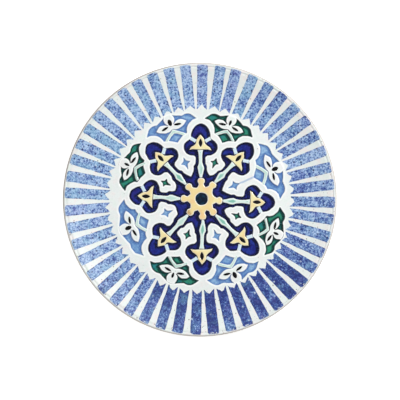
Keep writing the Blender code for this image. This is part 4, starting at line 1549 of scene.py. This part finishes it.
class PLATE_OT_stems(bpy.types.Operator):
    """Paint the eight stems"""
    bl_idname = "plate.stems"
    bl_label = "Stems"

    def execute(self, context):
        stems()
        return {"FINISHED"}


class PLATE_OT_lilies(bpy.types.Operator):
    """Paint the eight lilies"""
    bl_idname = "plate.lilies"
    bl_label = "Lilies"

    def execute(self, context):
        lilies()
        return {"FINISHED"}


class PLATE_OT_ties(bpy.types.Operator):
    """Paint the pale ties beside the lilies"""
    bl_idname = "plate.ties"
    bl_label = "Ties"

    def execute(self, context):
        ties()
        return {"FINISHED"}


class PLATE_OT_flowers(bpy.types.Operator):
    """Paint the eight white flowers"""
    bl_idname = "plate.flowers"
    bl_label = "Flowers"

    def execute(self, context):
        flowers()
        return {"FINISHED"}


class PLATE_OT_leaves(bpy.types.Operator):
    """Paint the eight pairs of leaves"""
    bl_idname = "plate.leaves"
    bl_label = "Leaf pairs"

    def execute(self, context):
        leaves()
        return {"FINISHED"}


class PLATE_OT_marks(bpy.types.Operator):
    """Paint the dark seeds and the marks on the petals"""
    bl_idname = "plate.marks"
    bl_label = "Seeds and marks"

    def execute(self, context):
        marks()
        return {"FINISHED"}


class PLATE_OT_stripes(bpy.types.Operator):
    """Brush the blue stripes on the rim"""
    bl_idname = "plate.stripes"
    bl_label = "Rim stripes"

    def execute(self, context):
        stripes()
        return {"FINISHED"}


class PLATE_OT_stage(bpy.types.Operator):
    """Set the floor, the lights and the camera"""
    bl_idname = "plate.stage"
    bl_label = "Stage"

    def execute(self, context):
        stage()
        return {"FINISHED"}


OPERATORS = (PLATE_OT_stage, PLATE_OT_clay_body, PLATE_OT_foot_ring, PLATE_OT_back_glaze,
             PLATE_OT_front_slip, PLATE_OT_navy_ground, PLATE_OT_spandrels,
             PLATE_OT_diamonds, PLATE_OT_centre_star, PLATE_OT_centre_eye, PLATE_OT_stems,
             PLATE_OT_lilies, PLATE_OT_ties, PLATE_OT_flowers, PLATE_OT_leaves,
             PLATE_OT_marks, PLATE_OT_stripes)


class PLATE_PT_panel(bpy.types.Panel):
    """Lists the steps that make the plate"""
    bl_idname = "PLATE_PT_panel"
    bl_label = "Plate"
    bl_space_type = "VIEW_3D"
    bl_region_type = "UI"
    bl_category = "Plate"

    def draw(self, context):
        for operator in OPERATORS:
            self.layout.operator(operator.bl_idname)


GROUPS = {"plate_sizes": PlateSizes, "plate_colours": PlateColours, "plate_stage": PlateStage}


def register():
    for item in (*GROUPS.values(), *OPERATORS, PLATE_PT_panel):
        bpy.utils.register_class(item)
    for name, group in GROUPS.items():
        setattr(bpy.types.Scene, name, PointerProperty(type=group))


def unregister():
    for name in GROUPS:
        delattr(bpy.types.Scene, name)
    for item in reversed((*GROUPS.values(), *OPERATORS, PLATE_PT_panel)):
        bpy.utils.unregister_class(item)


def main():
    register()
    for operator in OPERATORS:
        group, name = operator.bl_idname.split(".")
        getattr(getattr(bpy.ops, group), name)()


if __name__ == "__main__":
    main()
